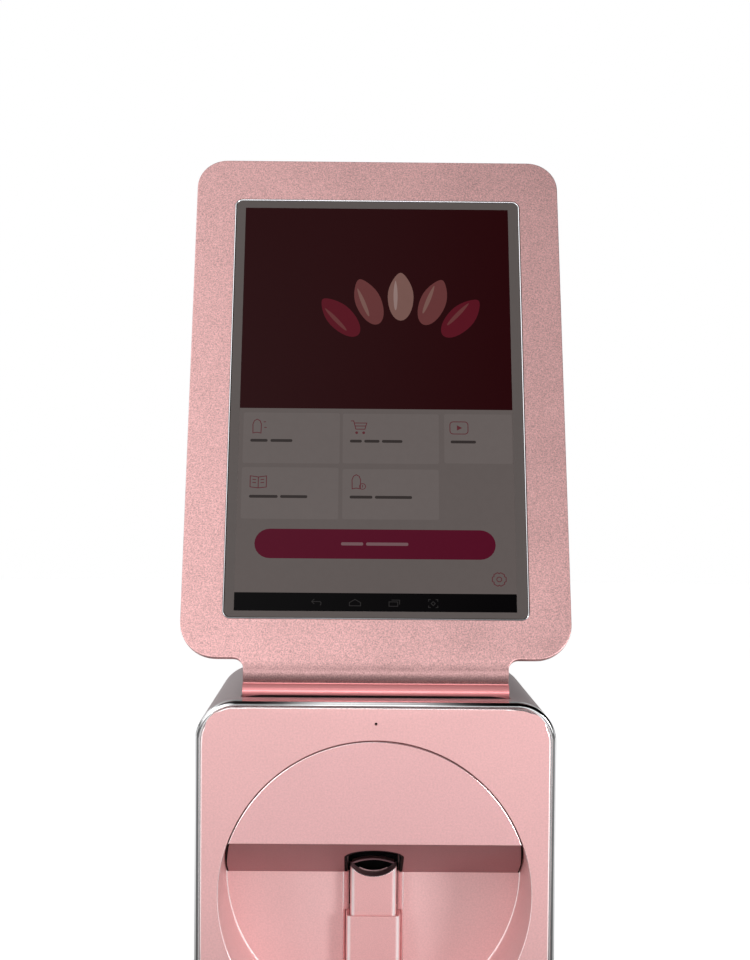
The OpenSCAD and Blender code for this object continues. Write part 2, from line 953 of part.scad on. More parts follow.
module motor_bracket()
{
    color(steel) at_front() difference()
    {
        block([screw_x - bracket_w / 2, feed_motor_end, deck_top],
              [bracket_w, plate_t, screw_z + feed_motor_r - deck_top]);
        translate([screw_x, 0, screw_z]) bar_y(coupler_r, feed_motor_end - 1, plate_t + 2);
    }
}

module feed_screw()
{
    color(bright) at_front() translate([screw_x, 0, screw_z])
    {
        bar_y(screw_dia / 2, feed_motor_end - 4, screw_end - feed_motor_end + 4);
        bar_y(coupler_r, coupler_start, coupler_l);
    }
}

module screw_bearing()
{
    color("goldenrod") at_front() translate([screw_x, 0, screw_z]) difference()
    {
        bar_y(screw_dia / 2 + bearing_wall, bearing_start, bearing_l);
        bar_y(screw_dia / 2 + slip, bearing_start - 1, bearing_l + 2);
    }
}

module screw_bracket()
{
    bracket_half = 8;
    color(steel) at_front() difference()
    {
        block([screw_x - bracket_half, bearing_start, deck_top],
              [2 * bracket_half, bearing_l, screw_z + bracket_half - deck_top]);
        translate([screw_x, 0, screw_z])
            bar_y(screw_dia / 2 + bearing_wall + tight, bearing_start - 1, bearing_l + 2);
    }
}

module feed_nut()
{
    color("goldenrod") at_front() translate([screw_x, 0, screw_z]) difference()
    {
        bar_y(nut_r, plate_front - nut_l, nut_l);
        bar_y(screw_dia / 2 + slip, plate_front - nut_l - 1, nut_l + 2);
    }
}

// ---- gantry ----

module gantry_frame()
{
    color(steel) at_front() difference()
    {
        union()
        {
            block([-end_x - end_plate_t, plate_front, carriage_z + 4],
                  [2 * (end_x + end_plate_t), gantry_t, gantry_top - carriage_z - 4]);
            block([screw_x - 9, plate_front, screw_z - 8], [18, gantry_t, carriage_z + 5 - screw_z + 8]);
            for (sx = [-1, 1])
            {
                translate([sx * (end_x + end_plate_t / 2), (hang_start + plate_rear - 1) / 2,
                           (carriage_z + 4 + gantry_top) / 2])
                    cube([end_plate_t, plate_rear - hang_start - 1, gantry_top - carriage_z - 4], center = true);
                translate([sx * (end_x + end_plate_t + block_w / 2 - eps), plate_rear - block_l / 2, feed_rod_z])
                    cube([block_w, block_l, block_h], center = true);
            }
            translate([idler_x, 0, pulley_z]) bar_y(idler_pin_r, pulley_start, plate_front - pulley_start + eps);
        }
        for (sx = [-1, 1])
            translate([sx * feed_rod_x, 0, feed_rod_z]) bar_y(feed_rod_dia / 2 + slip, 0, far);
        for (z = [low_rod_z, high_rod_z])
            translate([0, rod_depth, z]) bar_x(scan_rod_dia / 2 + tight, far);
        translate([drive_x, 0, pulley_z]) bar_y(scan_shaft_r + 1, plate_front - 1, gantry_t + 2);
        translate([screw_x, 0, screw_z]) bar_y(screw_dia / 2 + 0.5, plate_front - 1, gantry_t + 2);
        for (x = [-12, 12]) translate([x, 0, pulley_z]) bar_y(8, plate_front - 1, gantry_t + 2);
    }
}

module scan_rods()
{
    color(bright) at_front() for (z = [low_rod_z, high_rod_z])
        translate([0, rod_depth, z]) bar_x(scan_rod_dia / 2, 2 * (end_x + end_plate_t));
}

module scan_motor()
{
    color(dark) at_front() translate([drive_x, 0, pulley_z]) difference()
    {
        along_y(plate_rear, motor_d) rounded(motor_w, motor_w, 3);
        bar_y(scan_shaft_r + slip, plate_rear - 1, 6);
    }
}

module pulley_body(bore)
{
    difference()
    {
        union()
        {
            bar_y(pulley_r, pulley_start, pulley_w);
            bar_y(pulley_r + belt_t, pulley_start, flange_t_pulley);
            bar_y(pulley_r + belt_t, pulley_start + pulley_w - flange_t_pulley, flange_t_pulley);
        }
        if (bore > 0) bar_y(bore, pulley_start - 1, pulley_w + 2);
    }
}

module drive_pulley()
{
    color(bright) at_front() translate([drive_x, 0, pulley_z])
    {
        pulley_body(0);
        bar_y(scan_shaft_r, pulley_start, plate_rear + 4 - pulley_start);
    }
}

module idler_pulley()
{
    color(bright) at_front() translate([idler_x, 0, pulley_z]) pulley_body(idler_pin_r + slip);
}

module scan_belt()
{
    belt_start = pulley_start + flange_t_pulley + 0.15;
    belt_w = pulley_w - 2 * flange_t_pulley - 0.3;
    color(black) at_front() along_y(belt_start, belt_w) difference()
    {
        belt_loop(pulley_r + belt_gap + belt_t);
        belt_loop(pulley_r + belt_gap);
    }
}

module belt_loop(r)
{
    for (x = [drive_x, idler_x]) translate([x, pulley_z]) circle(r);
    translate([drive_x, pulley_z - r]) square([idler_x - drive_x, 2 * r]);
}

// ---- carriage ----

module carriage()
{
    clamp_top = pulley_z - pulley_r - belt_gap - belt_t - 0.1;
    color(dark) at_front() translate([parked_x, 0, 0]) difference()
    {
        union()
        {
            block([-cup_w / 2, carriage_front, carriage_z], [cup_w, hang_start - carriage_front, cup_h]);
            block([-cup_w / 2, hang_start - eps, carriage_z + 4], [cup_w, hang_d, cup_h - 2]);
            block([-4, hang_end - eps, clamp_top - 3], [8, pulley_w + 0.3, 3]);
        }
        block([-cartridge_w / 2 - gap, carriage_front - 1, carriage_z + cup_floor],
              [cartridge_w + 2 * gap, cup_back - carriage_front + 1, far]);
        block([-nozzle_w / 2 - gap, carriage_front - 1, carriage_z - 1],
              [nozzle_w + 2 * gap, nozzle_front + nozzle_d + gap - carriage_front + 1, cup_floor + 2]);
        for (z = [low_rod_z, high_rod_z])
            translate([0, rod_depth, z])
            {
                bar_x(scan_rod_dia / 2 + 0.8, far);
                for (sx = [-1, 1])
                    translate([sx * (cup_w - bush_l) / 2, 0, 0]) bar_x(scan_rod_dia / 2 + bush_wall + tight, bush_l + eps);
            }
        translate([0, latch_axis, latch_z - latch_t / 2]) bar_x(trunnion_r + slip, far);
    }
}

module carriage_bushes()
{
    color("goldenrod") at_front() for (z = [low_rod_z, high_rod_z], sx = [-1, 1])
        translate([parked_x + sx * (cup_w - bush_l) / 2, rod_depth, z]) difference()
        {
            bar_x(scan_rod_dia / 2 + bush_wall, bush_l);
            bar_x(scan_rod_dia / 2 + slip, bush_l + 2);
        }
}

module ink_cartridge()
{
    color(black) at_front() translate([parked_x, 0, 0])
    {
        block([-cartridge_w / 2, carriage_front + 0.3, carriage_z + cup_floor],
              [cartridge_w, cartridge_d - 0.2, cartridge_h]);
        block([-nozzle_w / 2, nozzle_front, nozzle_z],
              [nozzle_w, nozzle_d, carriage_z + cup_floor - nozzle_z + eps]);
    }
}

module cartridge_latch()
{
    latch_w = cartridge_w - 1;
    color("royalblue") at_front() translate([parked_x, 0, 0])
    {
        block([-latch_w / 2, carriage_front - 1.7, latch_z - latch_t],
              [latch_w, latch_axis - carriage_front + 1.7, latch_t]);
        block([-latch_w / 2, carriage_front - 1.7, latch_z - latch_t - 5], [latch_w, 1.7, 5 + eps]);
        translate([0, latch_axis, latch_z - latch_t / 2])
        {
            bar_x(latch_t / 2 + gap / 2, latch_w);
            bar_x(trunnion_r, cup_w);
        }
    }
}

// ---- service station, camera ----

module service_base()
{
    color(dark) at_front() difference()
    {
        block([parked_x - cap_w / 2 - 1.5, cap_front - 1.5, deck_top],
              [cap_w + 3, cap_d + 3, cap_base_z - deck_top]);
        block([parked_x - cap_w / 2 + 1, cap_front + 1, deck_top + 3],
              [cap_w - 2, far, cap_base_z - deck_top - 6]);
    }
}

module service_cap()
{
    color("dimgray") at_front() difference()
    {
        block([parked_x - cap_w / 2, cap_front, cap_base_z], [cap_w, cap_d, cap_top - cap_base_z]);
        block([parked_x - cap_w / 2 + 1.5, cap_front + 1.5, cap_base_z + 1.5], [cap_w - 3, cap_d - 3, far]);
    }
}

module nail_camera()
{
    color("darkgreen") at_front()
        block([-camera_w / 2, camera_mid - camera_w / 2, side_top - camera_h], [camera_w, camera_w, camera_h]);
}

module camera_lens()
{
    color(black) at_front() translate([0, camera_mid, side_top - camera_h - lens_l]) difference()
    {
        cylinder(r = lens_r, h = lens_l);
        translate([0, 0, -1]) cylinder(r = lens_r - 1.5, h = 3);
    }
}

module ring_light()
{
    color("white") at_front() translate([0, camera_mid, side_top - camera_h - ring_t]) difference()
    {
        cylinder(r = ring_r, h = ring_t);
        translate([0, 0, -1]) cylinder(r = lens_r + 1, h = ring_t + 2);
    }
}

// ---- electronics and rear fittings ----

module main_board()
{
    color("darkgreen") at_front() difference()
    {
        union()
        {
            block([-board_half, board_start, board_z], [2 * board_half, board_end - board_start, board_t]);
            block([-14, board_start + 18, board_top - eps], [28, 28, 3]);
            for (i = [0 : 6])
                block([-14 + i * 4.4, board_start + 18, board_top + 3 - 2 * eps], [1.6, 28, 6]);
        }
        board_post_places() translate([0, 0, board_z - 1]) cylinder(r = 1.2 + tight, h = board_t + 2);
    }
}

module board_post_places()
{
    for (sx = [-1, 1], y = [board_start + 5, base_end - 6]) translate([sx * (board_half - 5), y, 0]) children();
}

module board_posts()
{
    color("goldenrod") at_front() board_post_places()
    {
        translate([0, 0, base_z]) cylinder(r = post_r, h = board_z - base_z);
        translate([0, 0, board_z - eps]) cylinder(r = 1.2, h = board_t + 1);
    }
}

module power_inlet()
{
    color(black) at_front() difference()
    {
        block([inlet_x - inlet_size / 2, rear_in - 16, board_top], [inlet_size, 16 - 0.2, inlet_size]);
        translate([inlet_x, 0, board_top + inlet_size / 2]) difference()
        {
            bar_y(inlet_bore_r, rear_in - 11, 12);
            bar_y(1, rear_in - 12, 11);
        }
    }
}

module usb_sockets()
{
    color(bright) at_front() difference()
    {
        block([usb_x - usb_w / 2, rear_in - 15, board_top], [usb_w, 15 + shell_t - 0.4, usb_h]);
        for (i = [0, 1])
            block([usb_x - usb_w / 2 + 0.7, rear_in - 10, board_top + 1 + i * usb_h / 2],
                  [usb_w - 1.4, far, usb_h / 2 - 2]);
    }
}

module power_switch()
{
    switch_w = 12;
    color(dark) at_front()
        block([button_x - switch_w / 2, switch_end - 12, board_top], [switch_w, 12, button_z - board_top + switch_w / 2]);
}

module power_button()
{
    flange_start = rear_in - button_flange_t - 0.3;
    color(bright) at_front() translate([button_x, 0, button_z])
    {
        bar_y(button_r, flange_start, body_d - flange_start - 0.3);
        bar_y(button_flange_r, flange_start, button_flange_t);
        bar_y(button_stem_r, switch_end + button_travel + 0.3, flange_start - switch_end - button_travel);
    }
}

module button_spring()
{
    color(steel) at_front() translate([button_x, 0, button_z]) difference()
    {
        bar_y(4, switch_end, rear_in - button_flange_t - 0.4 - switch_end);
        bar_y(3, switch_end - 1, far);
    }
}

// ---- hinge and display ----

module hinge_bracket()
{
    color(steel) at_front()
    {
        block([-bracket_x, hinge_back - 8, top_z - shell_t - bracket_t], [2 * bracket_x, 20, bracket_t]);
        for (sx = [-1, 1]) translate([sx * knuckle_x, hinge_back, 0])
        {
            translate([-knuckle_l / 2, -web_front, top_z - shell_t - eps]) cube([knuckle_l, web_t, shell_t + hinge_rise]);
            translate([0, 0, axis_z]) bar_x(knuckle_r, knuckle_l);
        }
        translate([0, hinge_back, axis_z]) bar_x(hinge_pin_r, neck_w - 3);
    }
}

// Places children in the display's frame: origin on the hinge axis, z up the panel, y towards its back
module in_display() { translate([0, front_y + hinge_back, axis_z]) rotate([-tilt, 0, 0]) children(); }

module frame_outline()
{
    low_w = screen_w - 2 * screen_low_r;
    top_w = screen_w - 2 * screen_top_r;
    top = screen_low + screen_h;
    translate([-low_w / 2, screen_low]) square([low_w, screen_h / 2]);
    translate([-top_w / 2, screen_mid]) square([top_w, screen_h / 2]);
    translate([-screen_w / 2, screen_low + screen_low_r])
        square([screen_w, screen_h - screen_low_r - screen_top_r]);
    for (sx = [-1, 1])
    {
        translate([sx * low_w / 2, screen_low + screen_low_r]) circle(screen_low_r);
        translate([sx * top_w / 2, top - screen_top_r]) circle(screen_top_r);
    }
    translate([-neck_w / 2, 0]) square([neck_w, screen_low - neck_r]);
    difference()
    {
        translate([-neck_w / 2 - neck_r, screen_low - neck_r]) square([neck_w + 2 * neck_r, neck_r + 1]);
        for (sx = [-1, 1]) translate([sx * (neck_w / 2 + neck_r), screen_low - neck_r]) circle(neck_r);
    }
}

module screen_outline(inset, r)
{
    translate([0, glass_mid]) rounded(glass_w - 2 * inset, glass_h - 2 * inset, r);
}

// Part of the barrel's skin in front of a knuckle, as an angular sector
module skin_sector()
{
    reach = 3 * barrel_r;
    steps = 8;
    polygon(concat([[0, 0]], [for (i = [0 : steps]) skin_point(reach, skin_low + (skin_high - skin_low) * i / steps)]));
}

function skin_point(reach, a) = [-reach * cos(a), reach * sin(a)];

module display_frame()
{
    color(rose) in_display() difference()
    {
        union()
        {
            along_y(face_y, frame_t) frame_outline();
            bar_x(barrel_r, neck_w - 2 * barrel_end);
        }
        along_y(face_y - 1, ledge_front + 1) screen_outline(-0.1, glass_r + 0.1);
        along_y(face_y, frame_t + 1) screen_outline((glass_w - picture_w) / 2 - ledge_w, glass_r);
        along_y(face_y + ledge_front + ledge_t, frame_t) screen_outline(-module_side - seat, glass_r);
        bar_x(hinge_pin_r + slip, far);
        for (sx = [-1, 1]) translate([sx * knuckle_x, 0, 0])
        {
            bar_x(knuckle_r + gap, knuckle_l + 2 * gap);
            difference()
            {
                bar_x(barrel_r + 1, knuckle_l + 2 * gap);
                along_x(far) skin_sector();
            }
        }
        translate([0, 0, screen_mid]) for (sx = [-1, 1], sz = [-1, 1])
            translate([sx * cover_screw_x, 0, sz * cover_screw_z]) bar_y(1, face_y + 2, far);
    }
}

module display_module()
{
    color(dark) in_display()
    {
        along_y(face_y + ledge_front + ledge_t, module_t) screen_outline(-module_side, glass_r);
        along_y(face_y + ledge_front, ledge_t + eps)
            translate([0, glass_mid]) rounded(picture_w, picture_h, 1);
        block([-40, face_y + ledge_front + ledge_t + module_t - eps, glass_mid - 80], [80, 2.2, 70]);
    }
}

module touch_glass()
{
    color(black) in_display()
    {
        along_y(face_y + glass_set, glass_t) screen_outline(rim_w + eps, glass_r - rim_w);
        along_y(face_y - 0.1, glass_set + glass_t + 0.1) difference()
        {
            screen_outline(0, glass_r);
            screen_outline(rim_w, glass_r - rim_w);
        }
    }
}

module display_back()
{
    cover_w = screen_w - 2 * cover_inset;
    cover_h = screen_h - 2 * cover_inset;
    color(blush) in_display() translate([0, frame_rear, screen_mid]) difference()
    {
        rotate([-90, 0, 0]) dished(cover_w, cover_h, cover_r, cover_edge_r, back_cover_d);
        difference()
        {
            translate([0, -1, 0]) rotate([-90, 0, 0])
                dished(cover_w - 2 * cover_wall, cover_h - 2 * cover_wall, cover_r - cover_wall,
                       cover_edge_r - cover_wall, back_cover_d - cover_wall + 1);
            for (sx = [-1, 1], sz = [-1, 1])
                translate([sx * cover_screw_x, 0, sz * cover_screw_z]) bar_y(4, -1, far);
        }
        for (sx = [-1, 1], sz = [-1, 1]) translate([sx * cover_screw_x, 0, sz * cover_screw_z])
        {
            bar_y(1.3, -2, far);
            bar_y(2.8, back_cover_d - 3, far);
        }
        for (i = [-8 : 8]) translate([i * 5, 0, -cover_h / 2 + 34])
            along_y(back_cover_d - cover_wall - 1, cover_wall + 2) rounded(2, 16, 0.99);
    }
}

// ---- selection ----

main_shell();
front_trim();
front_panel();
recess_back();
grip_post();
rest_guide_pins();
rest_spring();
finger_rest();
finger_arch();
finger_tray();
finger_stop();
print_hood();
port_lining();
hood_magnets();
body_magnets();
status_lamp();
rear_cover();
rear_screws();
feet();
foot_screws();
base_plate();
side_plate_left();
side_plate_right();
deck_plate();
top_bridge();
feed_rods();
rod_holders();
feed_motor();
motor_bracket();
feed_screw();
screw_bearing();
screw_bracket();
feed_nut();
gantry_frame();
scan_rods();
scan_motor();
drive_pulley();
idler_pulley();
scan_belt();
carriage();
carriage_bushes();
ink_cartridge();
cartridge_latch();
service_base();
service_cap();
nail_camera();
camera_lens();
ring_light();
main_board();
board_posts();
power_inlet();
usb_sockets();
power_switch();
power_button();
button_spring();
hinge_bracket();
display_frame();
display_module();
touch_glass();
display_back();
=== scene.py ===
# Looks, stage and camera for the desktop nail art printer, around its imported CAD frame.
import json
import math
import bmesh
import bpy
from mathutils import Matrix, Vector


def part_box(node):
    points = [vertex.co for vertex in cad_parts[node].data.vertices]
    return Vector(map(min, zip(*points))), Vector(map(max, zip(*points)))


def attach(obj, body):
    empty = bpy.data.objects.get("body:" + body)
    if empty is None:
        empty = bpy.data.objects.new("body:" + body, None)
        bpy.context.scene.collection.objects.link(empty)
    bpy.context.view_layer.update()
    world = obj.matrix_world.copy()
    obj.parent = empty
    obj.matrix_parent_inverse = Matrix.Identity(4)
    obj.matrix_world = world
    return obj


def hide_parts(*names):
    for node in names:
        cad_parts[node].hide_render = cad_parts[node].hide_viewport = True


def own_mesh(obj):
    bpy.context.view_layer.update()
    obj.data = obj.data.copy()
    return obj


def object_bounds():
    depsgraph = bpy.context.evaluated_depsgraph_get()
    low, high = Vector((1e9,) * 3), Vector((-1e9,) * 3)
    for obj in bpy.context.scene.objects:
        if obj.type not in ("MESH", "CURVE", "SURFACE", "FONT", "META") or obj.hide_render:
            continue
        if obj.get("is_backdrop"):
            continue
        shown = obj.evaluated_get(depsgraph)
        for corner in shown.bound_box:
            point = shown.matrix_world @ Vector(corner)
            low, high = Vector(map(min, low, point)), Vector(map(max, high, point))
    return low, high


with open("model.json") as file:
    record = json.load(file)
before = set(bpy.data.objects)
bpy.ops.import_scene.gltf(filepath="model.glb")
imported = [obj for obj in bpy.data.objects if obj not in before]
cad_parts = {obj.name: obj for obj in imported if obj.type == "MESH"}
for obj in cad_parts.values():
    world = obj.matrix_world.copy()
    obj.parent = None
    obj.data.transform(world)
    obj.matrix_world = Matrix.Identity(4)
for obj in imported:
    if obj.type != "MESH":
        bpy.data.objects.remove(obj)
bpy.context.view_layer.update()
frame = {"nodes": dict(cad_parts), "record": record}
nodes = frame["nodes"]
scene = bpy.context.scene
bodyOf = {n: b for b, group in frame["record"]["behaviour"]["bodies"].items() for n in group}
mm = 0.001
print("stage: frame loaded,", len(nodes), "nodes")

# Front of the body, hinge axis and display lean, as the CAD has them
frontY = -0.084
hingePoint = Vector((0, -0.0635, 0.1895))
displayTurn = Matrix.Translation(hingePoint) @ Matrix.Rotation(math.radians(-20), 4, "X")
circleZ = 0.096


# Mesh helpers: outlines, loops of vertices and finished pieces
def roundedLoop(width, height, radius, steps=12, centre=(0, 0)):
    points = []
    for sx, sz, start in ((1, 1, 0), (-1, 1, 90), (-1, -1, 180), (1, -1, 270)):
        cx, cz = sx * (width / 2 - radius), sz * (height / 2 - radius)
        for i in range(steps + 1):
            a = math.radians(start + 90 * i / steps)
            points.append((centre[0] + cx + radius * math.cos(a), centre[1] + cz + radius * math.sin(a)))
    return points


def spaced(points, parts):
    result = []
    for a, b in zip(points, points[1:] + points[:1]):
        steps = parts if math.dist(a, b) > 30 * mm else 1
        result += [(a[0] + (b[0] - a[0]) * i / steps, a[1] + (b[1] - a[1]) * i / steps) for i in range(steps)]
    return result


def arc(cx, cy, radius, start, end, steps):
    turn = [math.radians(start + (end - start) * i / steps) for i in range(steps + 1)]
    return [(cx + radius * math.cos(a), cy + radius * math.sin(a)) for a in turn]


def addLoop(bm, points, depth):
    return [bm.verts.new((x, depth, z)) for x, z in points]


def bridge(bm, a, b, index=0):
    for i in range(len(a)):
        j = (i + 1) % len(a)
        bm.faces.new((a[i], a[j], b[j], b[i])).material_index = index


def closeRing(bm, loops):
    for a, b in zip(loops, loops[1:] + loops[:1]):
        bridge(bm, a, b)


def loft(bm, rows):
    for a, b in zip(rows, rows[1:]):
        bridge(bm, a, b)
    bm.faces.new(rows[0])
    bm.faces.new(rows[-1])


def clamp(value):
    return min(1, max(0, value))


def rounded(part):
    return part * part * (3 - 2 * part)


# Faces with very many sides, and the wide faces of a cover with holes, are shaded flat
shading = {"manySides": 24, "wideShare": 0.12, "covers": ("rear_cover", "display_back")}


def shadeMesh(mesh, sharp=40):
    bm = bmesh.new()
    bm.from_mesh(mesh)
    bmesh.ops.recalc_face_normals(bm, faces=bm.faces)
    ways = {face: tuple(round(c, 2) for c in face.normal) for face in bm.faces}
    areas = dict.fromkeys(ways.values(), 0)
    for face, way in ways.items():
        areas[way] += face.calc_area()
    limit = sum(areas.values()) * (shading["wideShare"] if mesh.name.startswith(shading["covers"]) else 2)
    for face, way in ways.items():
        face.smooth = len(face.verts) < shading["manySides"] and areas[way] < limit
    for edge in bm.edges:
        edge.smooth = not (len(edge.link_faces) == 2 and edge.calc_face_angle(0) > math.radians(sharp))
    bm.to_mesh(mesh)
    bm.free()


def plainMesh(obj):
    depsgraph = bpy.context.evaluated_depsgraph_get()
    mesh = bpy.data.meshes.new_from_object(obj.evaluated_get(depsgraph))
    obj.modifiers.clear()
    old = obj.data
    obj.data = mesh
    bpy.data.meshes.remove(old)
    mesh.name = obj.name


def settle(obj, body, stands):
    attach(obj, body)
    if stands:
        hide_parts(*stands)
    return obj


def addPiece(name, bm, materials, body, stands=(), turn=None, sharp=40, even=True):
    mesh = bpy.data.meshes.new(name)
    bm.to_mesh(mesh)
    bm.free()
    if turn is not None:
        mesh.transform(turn)
    shadeMesh(mesh, sharp)
    obj = bpy.data.objects.new(name, mesh)
    scene.collection.objects.link(obj)
    for material in materials if isinstance(materials, list) else [materials]:
        mesh.materials.append(material)
    if even:
        modifier = obj.modifiers.new("weighted", "WEIGHTED_NORMAL")
        modifier.keep_sharp = True
        modifier.weight = 60
        plainMesh(obj)
    return settle(obj, body, stands)


# A CAD node's mesh, merged: faces closer than the angle (degrees) become one, unless it is 0
def merged(node, flat=0.7):
    bm = bmesh.new()
    bm.from_mesh(nodes[node].data)
    for face in bm.faces:
        face.material_index = 0
    bmesh.ops.remove_doubles(bm, verts=bm.verts, dist=2e-6)
    bmesh.ops.dissolve_degenerate(bm, dist=2e-6, edges=bm.edges)
    if flat:
        bmesh.ops.dissolve_limit(bm, angle_limit=math.radians(flat), use_dissolve_boundaries=False,
                                 verts=bm.verts, edges=bm.edges, delimit={"NORMAL"})
    return bm


def soften(bm, width, segments=2, sharp=28, pick=lambda middle: True, index=-1):
    edges = [e for e in bm.edges if len(e.link_faces) == 2 and e.calc_face_angle(0) > math.radians(sharp)
             and pick((e.verts[0].co + e.verts[1].co) / 2)]
    bmesh.ops.bevel(bm, geom=edges, offset=width, offset_type="OFFSET", segments=segments, profile=0.5,
                    affect="EDGES", clamp_overlap=False, loop_slide=True, material=index)


def softCopy(node, width, material, segments):
    bm = merged(node)
    soften(bm, width * mm, segments)
    addPiece(node + "Soft", bm, material, bodyOf[node], (node,))


def cutPlane(bm, place, way):
    bmesh.ops.bisect_plane(bm, geom=bm.verts[:] + bm.edges[:] + bm.faces[:], plane_co=place, plane_no=way)


# Node helpers: an input is given a value, or linked where a socket is given
def addNode(tree, kind, inputs=None, **settings):
    node = tree.nodes.new(kind)
    for key, value in settings.items():
        setattr(node, key, value)
    for label, value in (inputs or {}).items():
        if isinstance(value, bpy.types.NodeSocket):
            tree.links.new(value, node.inputs[label])
        else:
            node.inputs[label].default_value = value
    return node


def mathNode(tree, operation, a, b):
    return addNode(tree, "ShaderNodeMath", {0: a, 1: b}, operation=operation).outputs[0]


def times(tree, a, b):
    return mathNode(tree, "MULTIPLY", a, b)


def plus(tree, a, b):
    return mathNode(tree, "ADD", a, b)


def larger(tree, a, b):
    return mathNode(tree, "MAXIMUM", a, b)


def spread(tree, value, low, high, outLow, outHigh, curve="LINEAR"):
    inputs = {"Value": value, "From Min": low, "From Max": high, "To Min": outLow, "To Max": outHigh}
    return addNode(tree, "ShaderNodeMapRange", inputs, interpolation_type=curve).outputs["Result"]


socketKinds = {int: "NodeSocketInt", float: "NodeSocketFloat", tuple: "NodeSocketVector"}


def newTree(name, inputs, kind="GeometryNodeTree", ends=("Geometry",)):
    tree = bpy.data.node_groups.new(name, kind)
    if kind == "GeometryNodeTree":
        tree.interface.new_socket("Geometry", in_out="INPUT", socket_type="NodeSocketGeometry")
        tree.interface.new_socket("Material", in_out="INPUT", socket_type="NodeSocketMaterial")
    for label, value in inputs.items():
        socket = tree.interface.new_socket(label, in_out="INPUT", socket_type=socketKinds[type(value)])
        socket.default_value = value
    for label in ends:
        socketType = "NodeSocketGeometry" if label == "Geometry" else "NodeSocketFloat"
        tree.interface.new_socket(label, in_out="OUTPUT", socket_type=socketType)
    return tree, tree.nodes.new("NodeGroupInput").outputs


def finishTree(tree, given, geometry, onPoints=True):
    if onPoints:
        inputs = {"Points": given["Geometry"], "Instance": geometry}
        geometry = addNode(tree, "GeometryNodeInstanceOnPoints", inputs).outputs[0]
    real = addNode(tree, "GeometryNodeRealizeInstances", {"Geometry": geometry})
    painted = addNode(tree, "GeometryNodeSetMaterial", {"Geometry": real.outputs[0],
                                                        "Material": given["Material"]})
    addNode(tree, "NodeGroupOutput", {"Geometry": painted.outputs[0]})


def moved(tree, geometry, offset):
    shift = addNode(tree, "ShaderNodeCombineXYZ", offset).outputs[0]
    return addNode(tree, "GeometryNodeTransform", {"Geometry": geometry, "Translation": shift}).outputs[0]


def joined(tree, *parts):
    node = addNode(tree, "GeometryNodeJoinGeometry")
    for part in parts:
        tree.links.new(part, node.inputs[0])
    return node.outputs[0]


# A screw at every point: tapered head with a hexagon recess, and a shank below it
screw = {"headSides": 28, "taper": 0.84, "recessSides": 6, "shankSides": 20, "sink": -0.498}
tree, given = newTree("screwsAtPoints", {"Head Radius": 2.8e-3, "Head Height": 1.8e-3, "Recess": 1.3e-3,
                                         "Shank Radius": 1.5e-3, "Shank Length": 8e-3})
head = addNode(tree, "GeometryNodeMeshCone", {
    "Vertices": screw["headSides"], "Radius Bottom": given["Head Radius"],
    "Radius Top": times(tree, given["Head Radius"], screw["taper"]), "Depth": given["Head Height"]})
recess = addNode(tree, "GeometryNodeMeshCylinder", {
    "Vertices": screw["recessSides"], "Radius": given["Recess"], "Depth": given["Head Height"]})
cutter = moved(tree, recess.outputs["Mesh"], {"Z": given["Head Height"]})
shank = addNode(tree, "GeometryNodeMeshCylinder", {
    "Vertices": screw["shankSides"], "Radius": given["Shank Radius"], "Depth": given["Shank Length"]})
shankDown = moved(tree, shank.outputs["Mesh"], {"Z": times(tree, given["Shank Length"], screw["sink"])})
cut = addNode(tree, "GeometryNodeMeshBoolean", {"Mesh 1": head.outputs["Mesh"], "Mesh 2": cutter},
              operation="DIFFERENCE", solver="EXACT")
finishTree(tree, given, joined(tree, cut.outputs["Mesh"], shankDown))
screwTree = tree

# A wire coil at every point, for springs and for the thread of a lead screw
tree, given = newTree("coilsAtPoints", {"Radius": 3.5e-3, "Height": 0.02, "Turns": 7.0, "Wire": 4e-4,
                                        "Steps": 160, "Sides": 8})
path = addNode(tree, "GeometryNodeCurveSpiral", {
    "Resolution": given["Steps"], "Rotations": given["Turns"], "Start Radius": given["Radius"],
    "End Radius": given["Radius"], "Height": given["Height"]})
wire = addNode(tree, "GeometryNodeCurvePrimitiveCircle", {"Radius": given["Wire"],
                                                          "Resolution": given["Sides"]})
tube = addNode(tree, "GeometryNodeCurveToMesh", {
    "Curve": path.outputs[0], "Profile Curve": wire.outputs["Curve"], "Fill Caps": True})
finishTree(tree, given, tube.outputs[0])
coilTree = tree

# A row of bars at every point, for screens, pins and chips
tree, given = newTree("barRows", {"Count": 8, "Step": (0.0, 0.0, 0.002), "Bar": (0.001, 0.001, 0.001)})
line = addNode(tree, "GeometryNodeMeshLine", {"Count": given["Count"], "Offset": given["Step"]})
bar = addNode(tree, "GeometryNodeMeshCube", {"Size": given["Bar"]})
row = addNode(tree, "GeometryNodeInstanceOnPoints", {"Points": line.outputs[0],
                                                     "Instance": bar.outputs["Mesh"]})
finishTree(tree, given, row.outputs[0])
rowTree = tree

# A short tapered can at every point, for capacitors and lamp dots
tree, given = newTree("studsAtPoints", {"Radius": 1e-3, "Top": 8e-4, "Height": 1e-3, "Sides": 16})
can = addNode(tree, "GeometryNodeMeshCone", {
    "Radius Bottom": given["Radius"], "Radius Top": given["Top"], "Depth": given["Height"],
    "Vertices": given["Sides"]})
finishTree(tree, given, can.outputs["Mesh"])
studTree = tree

